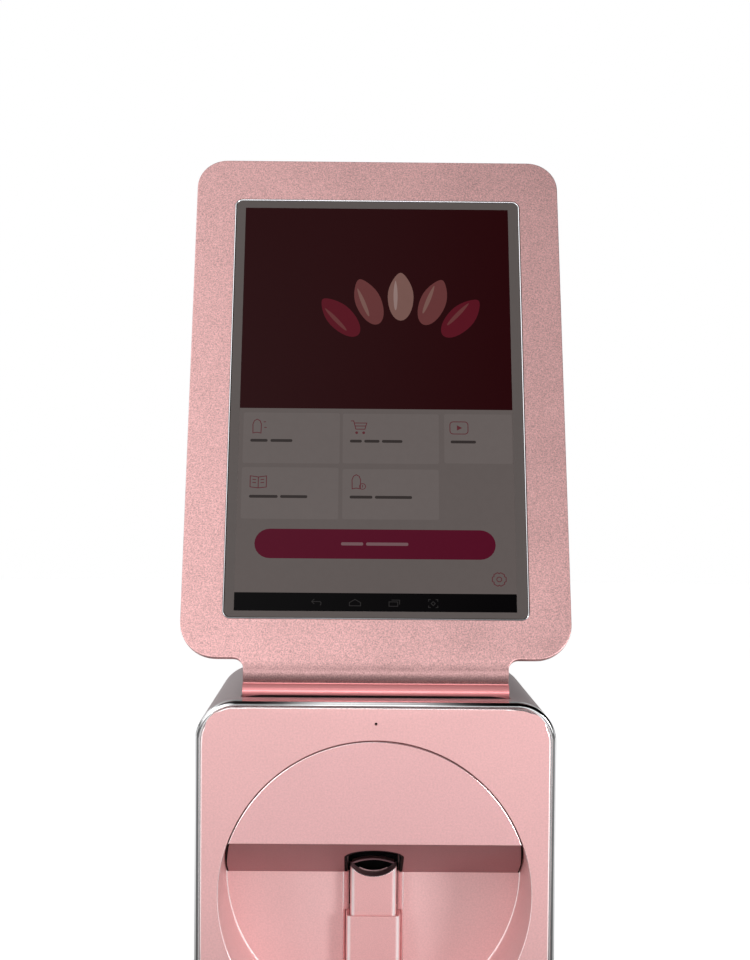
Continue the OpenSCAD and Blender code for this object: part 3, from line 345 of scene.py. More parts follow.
# Teeth that follow the belt's loop, joined to the flat band
tree, given = newTree("toothedBelt", {"Pitch": 2e-3, "Tooth": (0.001, 0.0004, 0.002), "Band Height": 6e-4,
                                      "Band Width": 2.7e-3, "Lift": 3e-4})
loop = addNode(tree, "GeometryNodeMeshToCurve", {"Mesh": given["Geometry"]})
profile = addNode(tree, "GeometryNodeCurvePrimitiveQuadrilateral", {
    "Width": given["Band Height"], "Height": given["Band Width"]})
band = addNode(tree, "GeometryNodeCurveToMesh", {"Curve": loop.outputs[0],
                                                 "Profile Curve": profile.outputs[0]})
marks = addNode(tree, "GeometryNodeCurveToPoints", {"Curve": loop.outputs[0], "Length": given["Pitch"]},
                mode="LENGTH")
tooth = addNode(tree, "GeometryNodeMeshCube", {"Size": given["Tooth"]})
teeth = addNode(tree, "GeometryNodeInstanceOnPoints", {
    "Points": marks.outputs["Points"], "Rotation": marks.outputs["Rotation"],
    "Instance": moved(tree, tooth.outputs["Mesh"], {"X": given["Lift"]})})
finishTree(tree, given, joined(tree, band.outputs[0], teeth.outputs[0]), onPoints=False)
beltTree = tree


def growPiece(name, tree, points, values, material, body, stands=(), turn=None, edges=()):
    mesh = bpy.data.meshes.new(name)
    mesh.from_pydata(points, edges, [])
    obj = bpy.data.objects.new(name, mesh)
    scene.collection.objects.link(obj)
    modifier = obj.modifiers.new("grow", "NODES")
    modifier.node_group = tree
    sockets = {item.name: item.identifier for item in tree.interface.items_tree
               if item.item_type == "SOCKET" and item.in_out == "INPUT"}
    for label, value in {**values, "Material": material}.items():
        modifier[sockets[label]] = value
    plainMesh(obj)
    if turn is not None:
        obj.data.transform(turn)
    shadeMesh(obj.data)
    return settle(obj, body, stands)


# Shader groups: Tone multiplies the colour, Height is for bump, Rough adds to the roughness
groupEnds = ("Tone", "Height", "Rough")


def noise(tree, vector, scale, detail, roughness):
    inputs = {"Vector": vector, "Scale": scale, "Detail": detail, "Roughness": roughness}
    return addNode(tree, "ShaderNodeTexNoise", inputs).outputs["Fac"]


# Sprayed or blasted grain
tree, given = newTree("satinGrain", {"Scale": 1200.0, "Speckle": 0.1, "Cloud": 0.04}, "ShaderNodeTree",
                      groupEnds)
place = addNode(tree, "ShaderNodeTexCoord").outputs["Object"]
speckle = noise(tree, place, given["Scale"], 2, 0.7)
clouds = noise(tree, place, times(tree, given["Scale"], 0.018), 4, 0.6)
speck = times(tree, spread(tree, speckle, 0.3, 0.7, -1, 1), given["Speckle"])
cloud = times(tree, spread(tree, clouds, 0.25, 0.75, -1, 1), given["Cloud"])
addNode(tree, "NodeGroupOutput", {"Tone": plus(tree, plus(tree, speck, cloud), 1), "Height": speckle,
                                  "Rough": times(tree, cloud, 0.6)})
grainGroup = tree

# Lines of a brushed, turned or drawn metal, stretched along one axis
tree, given = newTree("brushedLines", {"Across": 3000.0, "Along": 60.0, "Strength": 0.1}, "ShaderNodeTree",
                      groupEnds)
stretch = addNode(tree, "ShaderNodeCombineXYZ", {"X": given["Along"], "Y": given["Across"],
                                                 "Z": given["Across"]})
place = addNode(tree, "ShaderNodeTexCoord").outputs["Object"]
along = addNode(tree, "ShaderNodeVectorMath", {0: place, 1: stretch.outputs[0]}, operation="MULTIPLY")
lines = noise(tree, along.outputs[0], 1, 3, 0.6)
swing = times(tree, spread(tree, lines, 0.3, 0.7, -1, 1), given["Strength"])
addNode(tree, "NodeGroupOutput", {"Tone": plus(tree, swing, 1), "Height": lines,
                                  "Rough": times(tree, swing, 0.7)})
brushGroup = tree


def linear(rgb):
    return tuple((c / 255 / 12.92) if c / 255 <= 0.04045 else ((c / 255 + 0.055) / 1.055) ** 2.4 for c in rgb)


def grain(scale, speckle, cloud):
    return grainGroup, {"Scale": scale, "Speckle": speckle, "Cloud": cloud}


def brushed(across, along, strength):
    return brushGroup, {"Across": across, "Along": along, "Strength": strength}


# shade is how far the piece's own attribute of that name darkens it, as painted shade and painted reflections,
# and the edge tone is a painted highlight laid on where its attribute edge is high
def makeMaterial(name, rgb, rough, metal, effect, bump=0.0, shade=0.0, paintedHighlightTone=None, glow=False,
                 **constants):
    material = bpy.data.materials.new(name)
    material.use_nodes = True
    tree = material.node_tree
    shader = tree.nodes["Principled BSDF"]
    surface = addNode(tree, "ShaderNodeGroup", effect[1], node_tree=effect[0]).outputs
    tone = surface["Tone"]
    if shade:
        dark = addNode(tree, "ShaderNodeAttribute", attribute_name="shade").outputs["Fac"]
        tone = times(tree, tone, spread(tree, dark, 0, 1, 1, 1 - shade))
    paint = addNode(tree, "ShaderNodeVectorMath", {0: linear(rgb), "Scale": tone},
                    operation="SCALE").outputs[0]
    shader.inputs["Metallic"].default_value = metal
    if paintedHighlightTone:
        lit = addNode(tree, "ShaderNodeAttribute", attribute_name="edge").outputs["Fac"]
        inputs = {"Factor": lit, "A": paint, "B": linear(paintedHighlightTone) + (1,)}
        paint = addNode(tree, "ShaderNodeMix", inputs, data_type="RGBA").outputs["Result"]
        tree.links.new(spread(tree, lit, 0, 1, metal, 0.05), shader.inputs["Metallic"])
    tree.links.new(paint, shader.inputs["Emission Color" if glow else "Base Color"])
    if glow:
        shader.inputs["Base Color"].default_value = (0, 0, 0, 1)
        shader.inputs["Emission Strength"].default_value = 1
    tree.links.new(plus(tree, surface["Rough"], rough), shader.inputs["Roughness"])
    if bump:
        dents = addNode(tree, "ShaderNodeBump", {"Distance": bump, "Strength": 1,
                                                 "Height": surface["Height"]})
        tree.links.new(dents.outputs[0], shader.inputs["Normal"])
    for label, value in constants.items():
        shader.inputs[socketNames[label]].default_value = value
    return material


socketNames = {"specular": "Specular IOR Level", "coat": "Coat Weight", "coatRough": "Coat Roughness"}
fine = grain(1100, 0.075, 0.02)
pinkPanel = makeMaterial("panelPink", (232, 180, 180), 0.42, 0.35, fine, 6e-6)
pinkHood = makeMaterial("hoodPink", (230, 178, 179), 0.42, 0.35, fine, 6e-6)
# The hood's paint made darker, as painted shade for its underside
pinkUnderShaded = makeMaterial("hoodShadowPink", (172, 128, 131), 0.45, 0.3, fine, 6e-6)
pinkBack = makeMaterial("recessPink", (240, 196, 196), 0.45, 0.3, grain(1100, 0.07, 0.03), 6e-6)
# Post and rest paint, with a painted highlight colour for their rounded edges
pinkPost = makeMaterial("postPink", (240, 184, 184), 0.33, 0.4, grain(1900, 0.07, 0.02), 3e-6,
                        paintedHighlightTone=(255, 253, 253))
tunnelPink = makeMaterial("tunnelPink", (248, 208, 208), 0.42, 0.3, fine, 5e-6)
archMauve = makeMaterial("archMauve", (148, 106, 111), 0.4, 0.4, fine, 4e-6)
channelPink = makeMaterial("channelPink", (244, 200, 201), 0.4, 0.3, fine, 4e-6)
platePink = makeMaterial("grainedRose", (234, 184, 183), 0.4, 0.8, grain(1500, 0.34, 0.05), 1.4e-5, shade=0.7)
barrelPink = makeMaterial("barrelRose", (246, 158, 160), 0.32, 0.6, grain(1500, 0.03, 0.02), 2e-6)
mauveShell = makeMaterial("shellMauve", (190, 171, 173), 0.34, 0.7, grain(1600, 0.03, 0.02), 3e-6)
coverPlastic = makeMaterial("coverMauve", (196, 172, 174), 0.5, 0.0, grain(900, 0.04, 0.03), 1.2e-5)
chrome = makeMaterial("brightTrim", (250, 250, 251), 0.07, 1.0, grain(600, 0.01, 0.01), shade=0.97)
# Pale shiny finish for edges and thin lines: it reflects the lamps, and its pale colour is a painted highlight
polishedEdge = makeMaterial("polishedEdge", (250, 232, 232), 0.16, 0.85, grain(900, 0.02, 0.01))
blackGloss = makeMaterial("blackGloss", (6, 5, 6), 0.6, 0.0, grain(900, 0.1, 0.05), 3e-6, specular=0.04)
lampSmoke = makeMaterial("lampSmoke", (7, 5, 6), 0.6, 0.0, grain(500, 0.05, 0.05), specular=0.04)
rimSilver = makeMaterial("rimSilver", (246, 247, 250), 0.1, 1.0, grain(600, 0.01, 0.01), shade=0.72)
# Black for strips of painted shadow set into gaps
feltBlack = makeMaterial("feltBlack", (14, 12, 12), 0.95, 0.0, grain(2600, 0.25, 0.1), 3e-5, specular=0.1)
blackPlastic = makeMaterial("blackPlastic", (34, 34, 36), 0.5, 0.0, grain(1100, 0.12, 0.06), 1.4e-5)
rubber = makeMaterial("rubber", (30, 30, 31), 0.75, 0.0, grain(1400, 0.15, 0.08), 1.6e-5)
motorBlack = makeMaterial("motorBody", (52, 52, 56), 0.38, 0.8, brushed(900, 900, 0.1), 4e-6)
steelSheet = makeMaterial("steelSheet", (168, 172, 176), 0.34, 0.9, brushed(2200, 90, 0.09), 3e-6)
groundSteel = makeMaterial("groundSteel", (205, 208, 212), 0.16, 1.0, brushed(160, 4200, 0.06), 1e-6)
alloy = makeMaterial("castAlloy", (188, 190, 194), 0.45, 0.85, grain(1000, 0.1, 0.05), 1.2e-5)
brass = makeMaterial("brass", (200, 158, 84), 0.3, 0.95, brushed(1800, 1800, 0.08), 3e-6)
magnetSteel = makeMaterial("magnetPlate", (176, 180, 186), 0.22, 0.95, brushed(1300, 1300, 0.05))
boardGreen = makeMaterial("boardGreen", (22, 84, 58), 0.38, 0.0, grain(700, 0.08, 0.1), 8e-6, coat=0.4,
                          coatRough=0.2)
lampClear = makeMaterial("lampClear", (226, 232, 238), 0.2, 0.0, grain(500, 0.02, 0.02), coat=0.5,
                         coatRough=0.1)
inkBody = makeMaterial("inkBody", (46, 46, 50), 0.42, 0.0, grain(1000, 0.08, 0.06), 9e-6)
tabBlue = makeMaterial("tabBlue", (64, 110, 150), 0.42, 0.0, grain(1000, 0.06, 0.04), 9e-6)
bezelGrey = makeMaterial("bezelGrey", (95, 88, 86), 0.25, 0.0, grain(300, 0.01, 0.02), specular=0.1)
print("stage: materials made")

# The finish of every CAD node, and of the pieces that stand for it
paintedNodes = (
    (mauveShell, "main_shell power_button"), (chrome, "front_trim"), (pinkPanel, "front_panel"),
    (pinkBack, "recess_back"), (pinkPost, "grip_post finger_rest"), (archMauve, "finger_arch"),
    (pinkHood, "print_hood"), (blackGloss, "port_lining camera_lens"),
    (magnetSteel, "hood_magnets body_magnets"),
    (lampSmoke, "status_lamp"), (coverPlastic, "rear_cover display_back"), (platePink, "display_frame"),
    (bezelGrey, "touch_glass"), (alloy, "gantry_frame drive_pulley idler_pulley"), (inkBody, "ink_cartridge"),
    (tabBlue, "cartridge_latch"), (lampClear, "ring_light"), (boardGreen, "main_board"),
    (motorBlack, "feed_motor scan_motor"), (brass, "feed_nut carriage_bushes board_posts"),
    (rubber, "finger_stop feet scan_belt service_cap"),
    (steelSheet, "base_plate side_plate_left side_plate_right deck_plate top_bridge motor_bracket"
                 " screw_bracket"),
    (groundSteel, "rest_guide_pins rest_spring rear_screws foot_screws feed_rods feed_screw screw_bearing"
                  " scan_rods usb_sockets button_spring hinge_bracket"),
    (blackPlastic, "finger_tray rod_holders carriage service_base nail_camera power_inlet power_switch"
                   " display_module"),
)
finishes = {node: material for material, names in paintedNodes for node in names.split()}
for name, node in nodes.items():
    node.data.materials.clear()
    node.data.materials.append(finishes[name])
    for polygon in node.data.polygons:
        polygon.material_index = 0

# Front trim: one bright ring with a rounded face, a flange behind the panel and a spigot in the shell
trim = {"width": 168, "height": 184, "corner": 18.5, "middle": 95, "wide": 2.0, "deep": 6.0, "round": 1.7,
        "innerRound": 0.3, "back": 3.3, "flange": 7.0, "flangeEnd": 5.7, "spigot": (2.7, 4.2),
        "spigotEnd": 10.0,
        "parts": 12, "topFrom": 184, "topHalf": 71, "fadeFrom": 12, "fadeOver": 40, "sideFrom": 76, "fade": 5}
section = [(0, trim["deep"])]
section += arc(trim["round"], trim["round"], trim["round"], 180, 270, 10)
section += arc(trim["wide"] - trim["innerRound"], trim["innerRound"], trim["innerRound"], 270, 360, 4)[1:]
section += [(trim["wide"], trim["back"]), (trim["flange"], trim["back"]), (trim["flange"], trim["flangeEnd"]),
            (trim["spigot"][1], trim["flangeEnd"]), (trim["spigot"][1], trim["spigotEnd"]),
            (trim["spigot"][0], trim["spigotEnd"]), (trim["spigot"][0], trim["deep"])]


# Painted reflections in the strip: dark outside near its top corners, a dark line along its sides, less dark
# inside it
def trimReflectionShade(x, z, inset):
    if z > trim["topFrom"] and x < trim["topHalf"]:
        tone = 0.08 + 0.9 * rounded(clamp((x - trim["fadeFrom"]) / trim["fadeOver"])) if inset < 1.6 else 0.5
        return tone * min(1, (trim["topHalf"] - x) / trim["fade"])
    tone = 0.62 if inset < 0.06 else 0.2 if inset < 0.85 else 0.9 if inset < 1.85 else 0.3
    return tone * clamp((x - trim["sideFrom"]) / trim["fade"])


bm = bmesh.new()
shade = bm.verts.layers.float.new("shade")
loops = []
for inset, depth in section:
    outline = roundedLoop((trim["width"] - 2 * inset) * mm, (trim["height"] - 2 * inset) * mm,
                          (trim["corner"] - inset) * mm, 20, (0, trim["middle"] * mm))
    loops.append(addLoop(bm, spaced(outline, trim["parts"]), frontY + depth * mm))
    for vert in loops[-1]:
        vert[shade] = clamp(trimReflectionShade(abs(vert.co.x) / mm, vert.co.z / mm, inset))
closeRing(bm, loops)
addPiece("frontTrimRing", bm, chrome, "housing", ("front_trim",), sharp=50)

# Front panel and hood, with pale shiny edges that reflect the lamps and carry a painted highlight
edges = {"panel": 0.9, "circle": 0.32, "hood": 0.35, "hoodInner": 0.25, "openBelow": 119.5, "circleReach": 74,
         "arcReach": 70, "lineReach": 72.5, "lineDepth": 0.75, "tunnelFrom": 1.2, "sideFrom": 79,
         "topFrom": 182,
         "footBelow": 9, "hoodDepth": 20, "hoodBelow": 122, "underBelow": 121}


def fromCircle(point):
    return math.hypot(point.x, point.z - circleZ) / mm


def outerEdge(point):
    away = abs(point.x) > edges["sideFrom"] * mm or not edges["footBelow"] < point.z / mm < edges["topFrom"]
    return point.y < frontY + 0.5 * mm and away


def hoodArc(point):
    return point.y < frontY + 1 * mm and fromCircle(point) > edges["arcReach"]


def hoodInner(point):
    low = point.y < frontY + edges["hoodDepth"] * mm and point.z < edges["hoodBelow"] * mm
    return low and not hoodArc(point)


def panelCircle(point):
    return point.y < frontY + 1 * mm and fromCircle(point) < edges["circleReach"]


bm = merged("front_panel")
soften(bm, edges["panel"] * mm, 3, pick=outerEdge, index=1)
soften(bm, edges["circle"] * mm, 3, pick=panelCircle, index=0)
for face in bm.faces:
    centre = face.calc_center_median()
    depth = (centre.y - frontY) / mm
    openPart = panelCircle(centre) and centre.z < edges["openBelow"] * mm and depth < edges["lineDepth"]
    if openPart and fromCircle(centre) > edges["lineReach"] and abs(face.normal.y) < 0.97:
        face.material_index = 1
    if depth > edges["tunnelFrom"] and fromCircle(centre) < edges["circleReach"]:
        face.material_index = 2
addPiece("frontPanelPressed", bm, [pinkPanel, polishedEdge, tunnelPink], "housing", ("front_panel",))

bm = merged("print_hood")
soften(bm, edges["hood"] * mm, 3, pick=hoodArc, index=1)
soften(bm, edges["hoodInner"] * mm, 2, pick=hoodInner, index=0)
# Faces under the hood take the darker copy, a painted shade
for face in bm.faces:
    if face.normal.z < -0.6 and face.calc_center_median().z < edges["underBelow"] * mm:
        face.material_index = 2
addPiece("hoodMoulded", bm, [pinkHood, polishedEdge, pinkUnderShaded], "hood", ("print_hood",))

# Bevelled rims down both sides of the channel, wider beside the narrow rest, with a painted highlight line at
# their edge
rims = (
    {"low": 24.7, "high": 76.2, "section": ((15.1, 54.96), (14.62, 54.96), (14.3, 55.2), (13.9, 55.7),
                                            (13.62, 56.3), (13.6, 57.6), (14.3, 57.6), (15.1, 55.3))},
    {"low": 76.2, "high": 95.6, "section": ((15.1, 54.96), (14.62, 54.96), (14.1, 55.08), (13.2, 55.4),
                                            (12.4, 55.95),
                                             (11.9, 56.4), (13.6, 56.44), (15.1, 55.3))},
)
bm = bmesh.new()
for rim in rims:
    for side in (-1, 1):
        ends = [[bm.verts.new((side * x * mm, frontY + d * mm, z * mm)) for x, d in rim["section"]]
                for z in (rim["low"], rim["high"])]
        for i in range(len(rim["section"])):
            j = (i + 1) % len(rim["section"])
            bm.faces.new((ends[0][i], ends[0][j], ends[1][j], ends[1][i])).material_index = 1 if i == 0 else 0
        bm.faces.new(ends[0])
        bm.faces.new(ends[1])
addPiece("channelRims", bm, [channelPink, polishedEdge], "housing", (), sharp=50)

# Painted highlight line where the tunnel meets the recess wall, and black strips of painted shadow in the gap
# at both ends of the hood's underside
tunnel = {"radius": 73.0, "line": 0.38, "lineDepth": (54.62, 54.98), "ease": 0.1, "shadowSheet": 0.12, "steps": 180}
bm = bmesh.new()
loops = []
for inset, depth in ((0.0, tunnel["lineDepth"][0]), (tunnel["line"], tunnel["lineDepth"][0] + tunnel["ease"]),
                     (tunnel["line"], tunnel["lineDepth"][1]), (0.0, tunnel["lineDepth"][1])):
    ring = arc(0, circleZ, (tunnel["radius"] - inset) * mm, 0, 360, tunnel["steps"])[:-1]
    loops.append(addLoop(bm, ring, frontY + depth * mm))
closeRing(bm, loops)
addPiece("tunnelLine", bm, polishedEdge, "housing", (), sharp=60)

hood = {"radius": 72.5, "front": 0.45, "back": 54.6, "under": 120.5, "slope": 0.4663, "slopeFrom": 0.3,
        "thin": 0.3, "wide": 0.95, "steps": 24, "above": 0.02}
bm = bmesh.new()
for side in (-1, 1):
    rows = []
    for i in range(hood["steps"] + 1):
        t = i / hood["steps"]
        depth = hood["front"] + (hood["back"] - hood["front"]) * t
        level = hood["under"] - hood["slope"] * (depth - hood["slopeFrom"])
        outer = math.sqrt(hood["radius"] ** 2 - (level - circleZ / mm) ** 2)
        swell = math.sin(math.pi * min(0.9, t * 1.25 + 0.05)) ** 0.7
        inner = outer - (hood["thin"] + (hood["wide"] - hood["thin"]) * swell)
        top, low = level + hood["above"], level - tunnel["shadowSheet"]
        rows.append([bm.verts.new((side * x * mm, frontY + depth * mm, z * mm))
                     for x, z in ((outer, top), (outer, low), (inner, low), (inner, top))])
    loft(bm, rows)
addPiece("hoodFelt", bm, feltBlack, "hood", (), sharp=50)

softCopy("port_lining", 0.25, blackGloss, 2)
recess = {"edge": 0.35, "half": 16, "front": 55.5, "channelHalf": 15, "channel": (55.3, 61.5)}
bm = merged("recess_back")
soften(bm, recess["edge"] * mm, 3, index=1,
       pick=lambda p: abs(p.x) < recess["half"] * mm and p.y < frontY + recess["front"] * mm)
for face in bm.faces:
    centre = face.calc_center_median()
    inChannel = recess["channel"][0] < (centre.y - frontY) / mm < recess["channel"][1]
    if abs(centre.x) < recess["channelHalf"] * mm and inChannel and face.material_index == 0:
        face.material_index = 2
addPiece("recessBackPressed", bm, [pinkBack, polishedEdge, channelPink], "housing", ("recess_back",))

# Fixed post, sprung rest with its cradle, and the arch behind it
rest = {"postEdge": 0.4, "edge": 0.3, "archEdge": 0.25, "archHalf": 10.6, "cut": 54.9, "cradleZ": 111,
        "cradleReach": 16, "cradleFrom": 94, "litMiddle": 36, "litHalf": 28, "litPower": 1.6}


# Painted highlight on the rounded upright edges: the attribute edge is highest where the surface turns about
# 36 degrees aside
def paintEdgeHighlights(bm):
    bm.normal_update()
    edge = bm.verts.layers.float.new("edge")
    for vert in bm.verts:
        turned = math.degrees(math.atan2(abs(vert.normal.x), -vert.normal.y))
        lit = max(0, 1 - ((turned - rest["litMiddle"]) / rest["litHalf"]) ** 2) ** rest["litPower"]
        vert[edge] = lit if abs(vert.normal.z) < 0.6 else 0


bm = merged("grip_post")
soften(bm, rest["postEdge"] * mm, 3)
paintEdgeHighlights(bm)
addPiece("gripPostMoulded", bm, pinkPost, "housing", ("grip_post",))

bm = merged("finger_rest")
soften(bm, rest["edge"] * mm, 3)
cutY = frontY + rest["cut"] * mm
cutPlane(bm, (0, cutY, 0), (0, 1, 0))
for face in bm.faces:
    centre = face.calc_center_median()
    near = math.hypot(centre.x, centre.z - rest["cradleZ"] * mm) < rest["cradleReach"] * mm
    if face.normal.z > 0.2 and centre.z > rest["cradleFrom"] * mm and near:
        face.material_index = 1 if abs(face.normal.y) < 0.2 and centre.y < cutY else 2
paintEdgeHighlights(bm)
addPiece("fingerRestMoulded", bm, [pinkPost, archMauve, polishedEdge], "finger_support", ("finger_rest",))

bm = merged("finger_arch")
soften(bm, rest["archEdge"] * mm, 2)
for side in (-1, 1):
    cutPlane(bm, (side * rest["archHalf"] * mm, 0, 0), (1, 0, 0))
for face in bm.faces:
    outside = abs(face.calc_center_median().x) > rest["archHalf"] * mm
    face.material_index = 1 if outside or (abs(face.normal.y) < 0.3 and face.normal.z < 0.2) else 0
addPiece("finger_archSoft", bm, [archMauve, blackGloss], bodyOf["finger_arch"], ("finger_arch",))

# Thin rose lip along the far edge of the cradle
lip = {"outer": 15.78, "inner": 15.12, "ease": (0.15, 0.2), "middle": 111.0, "depth": (54.9, 55.55),
       "half": 27,
       "steps": 36}
lipFront, lipBack = lip["depth"]
bm = bmesh.new()
loops = []
for radius, depth in ((lip["outer"], lipBack), (lip["inner"], lipBack),
                      (lip["inner"], lipFront + lip["ease"][1]),
                      (lip["inner"] + lip["ease"][0], lipFront), (lip["outer"], lipFront)):
    line = arc(0, lip["middle"] * mm, radius * mm, -90 - lip["half"], -90 + lip["half"], lip["steps"])
    loops.append(addLoop(bm, line, frontY + depth * mm))
loft(bm, list(zip(*loops)))
addPiece("cradleLip", bm, channelPink, "finger_support", ())
softCopy("main_shell", 0.3, mauveShell, 2)
addPiece("rear_coverSoft", merged("rear_cover", 0), coverPlastic, bodyOf["rear_cover"], ("rear_cover",),
         even=False)
softCopy("feet", 0.8, rubber, 3)
softCopy("power_button", 0.3, mauveShell, 2)
print("stage: body pieces made")

# Display plate: the CAD plate with soft edges and a neck that dips above the barrel, with painted shade on the
# dip
plate = {"edge": 0.4, "dipTop": 10.6, "dipLow": 3.4, "dip": 2.9, "cuts": 24, "face": -2.6, "back": 1.0,
         "shadeTop": 15.0, "shadeFull": 5.0, "neckHalf": 64, "barrel": 3.3, "barrelSkin": 3.55}
toLocal = displayTurn.inverted()


def plateEdge(point):
    x, y, z = abs(point.x) / mm, point.y / mm, point.z / mm
    return y < plate["face"] + 0.3 and z > 4 and (x > 78 or z < 33 or z > 265)


bm = merged("display_frame")
bmesh.ops.transform(bm, matrix=toLocal, verts=bm.verts)
soften(bm, plate["edge"] * mm, 3, pick=plateEdge, index=0)
for i in range(plate["cuts"]):
    level = plate["dipLow"] + (plate["shadeTop"] - plate["dipLow"]) * (i + 1) / plate["cuts"]
    low = [f for f in bm.faces if min(v.co.z for v in f.verts) < level * mm < max(v.co.z for v in f.verts)
           and max(v.co.y for v in f.verts) < 0.2 * mm]
    geometry = list({e for f in low for e in f.edges}) + low + list({v for f in low for v in f.verts})
    bmesh.ops.bisect_plane(bm, geom=geometry, plane_co=(0, 0, level * mm), plane_no=(0, 0, 1))
for vert in bm.verts:
    z, y = vert.co.z / mm, vert.co.y / mm
    inNeck = abs(vert.co.x) < plate["neckHalf"] * mm and 1.5 <= z < plate["dipTop"]
    if inNeck and y < plate["back"] and math.hypot(y, z) > plate["barrel"]:
        part = min(1, (plate["dipTop"] - z) / (plate["dipTop"] - plate["dipLow"]))
        vert.co.y += plate["dip"] * part * part * mm * (y - plate["back"]) / (plate["face"] - plate["back"])
# Painted shade on the front of the neck, darkest just above the barrel and fading out upward
shade = bm.verts.layers.float.new("shade")
for vert in bm.verts:
    rise = clamp((plate["shadeTop"] - vert.co.z / mm) / (plate["shadeTop"] - plate["shadeFull"]))
    facing = vert.co.y < 0.6 * mm and abs(vert.co.x) < plate["neckHalf"] * mm
    vert[shade] = rounded(rise) if facing else 0
for face in bm.faces:
    centre = face.calc_center_median()
    onBarrel = math.hypot(centre.y, centre.z) / mm < plate["barrelSkin"] and centre.z < 2.6 * mm
    face.material_index = 1 if onBarrel else 0
addPiece("displayPlate", bm, [platePink, barrelPink], "display", ("display_frame",), displayTurn,
         35)

# Smooth skin over the front of the barrel, from its foot up to the dip in the neck
skin = {"outer": 3.43, "inner": 3.3, "from": -78, "to": 94, "half": 63.2, "steps": 72}
bm = bmesh.new()
outer = arc(0, 0, skin["outer"] * mm, skin["from"], skin["to"], skin["steps"])
inner = arc(0, 0, skin["inner"] * mm, skin["to"], skin["from"], skin["steps"])
loft(bm, [[bm.verts.new((x * mm, -a, b)) for a, b in outer + inner] for x in (-skin["half"], skin["half"])])
addPiece("barrelSkin", bm, barrelPink, "display", (), displayTurn, 50)

# A black strip of painted shadow in the slot of the shell, along the foot of the barrel
slotShadow = {"half": 63.0, "depth": (16.6, 17.5), "low": 186.3, "lift": 0.35, "rise": 1.2, "ease": 0.2,
        "taper": 9.0,
        "steps": 60}
slotShadowFront, slotShadowBack = slotShadow["depth"]
bm = bmesh.new()
rows = []
for i in range(slotShadow["steps"] + 1):
    x = -slotShadow["half"] + 2 * slotShadow["half"] * i / slotShadow["steps"]
    swell = min(1, (slotShadow["half"] - abs(x)) / slotShadow["taper"]) ** 0.6
    top = slotShadow["low"] + slotShadow["lift"] + slotShadow["rise"] * max(0.02, swell)
    near = slotShadowBack - (slotShadowBack - slotShadowFront) * max(0.3, swell)
    rows.append([bm.verts.new((x * mm, frontY + d * mm, z * mm)) for d, z in (
        (near, slotShadow["low"]), (near, top - slotShadow["ease"]), (near + slotShadow["ease"], top), (slotShadowBack, top),
        (slotShadowBack, slotShadow["low"]))])
loft(bm, rows)
addPiece("barrelSeal", bm, feltBlack, "housing", (), sharp=50)

# Cover glass with its bright rim, with a painted dark reflection at its foot
glass = {"width": 148.0, "height": 226.6, "corner": 4.0, "middle": 148.0, "rim": 0.8, "round": 0.4,
         "front": -2.4,
         "back": -1.3, "rimFront": -2.7, "inset": 0.85, "ease": 0.2, "fade": 3}


def glassLoop(bm, inset, depth):
    outline = roundedLoop((glass["width"] - 2 * inset) * mm, (glass["height"] - 2 * inset) * mm,
                          (glass["corner"] - inset) * mm, 10, (0, glass["middle"] * mm))
    return addLoop(bm, outline, depth * mm)


rimSection = [(0.0, glass["back"]), (0.0, glass["rimFront"] + 0.35)]
rimSection += arc(glass["round"], glass["rimFront"] + glass["round"], glass["round"], 180, 360, 8)
rimSection += [(glass["rim"], glass["back"])]
bm = bmesh.new()
shade = bm.verts.layers.float.new("shade")
closeRing(bm, [glassLoop(bm, inset, depth) for inset, depth in rimSection])
footZ = glass["middle"] - glass["height"] / 2 + glass["corner"]
# Painted dark reflection along the foot of the rim
for vert in bm.verts:
    vert[shade] = clamp((footZ - vert.co.z / mm) / glass["fade"])
addPiece("glassRim", bm, rimSilver, "display", (), displayTurn, 50)

bm = bmesh.new()
slab = ((glass["inset"], glass["back"]), (glass["inset"], glass["front"] + glass["ease"]),
        (glass["inset"] + glass["ease"], glass["front"]))
loft(bm, [glassLoop(bm, inset, depth) for inset, depth in slab])
addPiece("coverGlass", bm, bezelGrey, "display", ("touch_glass",), displayTurn)

# Picture under the glass: flat generic symbols in thin layers, without lettering
picture = {"front": -2.4, "layer": 0.016, "left": -68.5, "right": 67.9, "low": 38.7, "high": 256.3,
           "navTop": 47.9,
           "bannerLow": 143.8, "line": 0.42, "navLevel": 42.9, "navLine": 0.34}
inks = {
    "ground": (95, 87, 85), "card": (101, 93, 91), "banner": (38, 5, 8), "nav": (4, 3, 4),
    "pill": (80, 13, 34),
    "symbol": (88, 40, 46), "label": (50, 44, 43), "navSymbol": (44, 42, 42), "pillLabel": (112, 84, 88),
    "nailRose": (98, 52, 52), "nailWine": (84, 18, 30), "nailPale": (116, 84, 78), "shine": (140, 116, 112),
}
inkNames = list(inks)
inkMaterials = [makeMaterial("screen" + name[0].upper() + name[1:], rgb, 0.18, 0.0, grain(240, 0.015, 0.05),
                             glow=True, specular=0.06) for name, rgb in inks.items()]


def inkFace(points, layer, ink):
    level = (picture["front"] - picture["layer"] * layer) * mm
    face = bm.faces.new([bm.verts.new((x * mm, level, u * mm)) for x, u in points])
    face.normal_update()
    if face.normal.y > 0:
        face.normal_flip()
    face.material_index = inkNames.index(ink)


def inkBox(left, right, low, high, corner, layer, ink):
    loop = roundedLoop(right - left, high - low, corner, 6, ((left + right) / 2, (low + high) / 2))
    inkFace(loop, layer, ink)


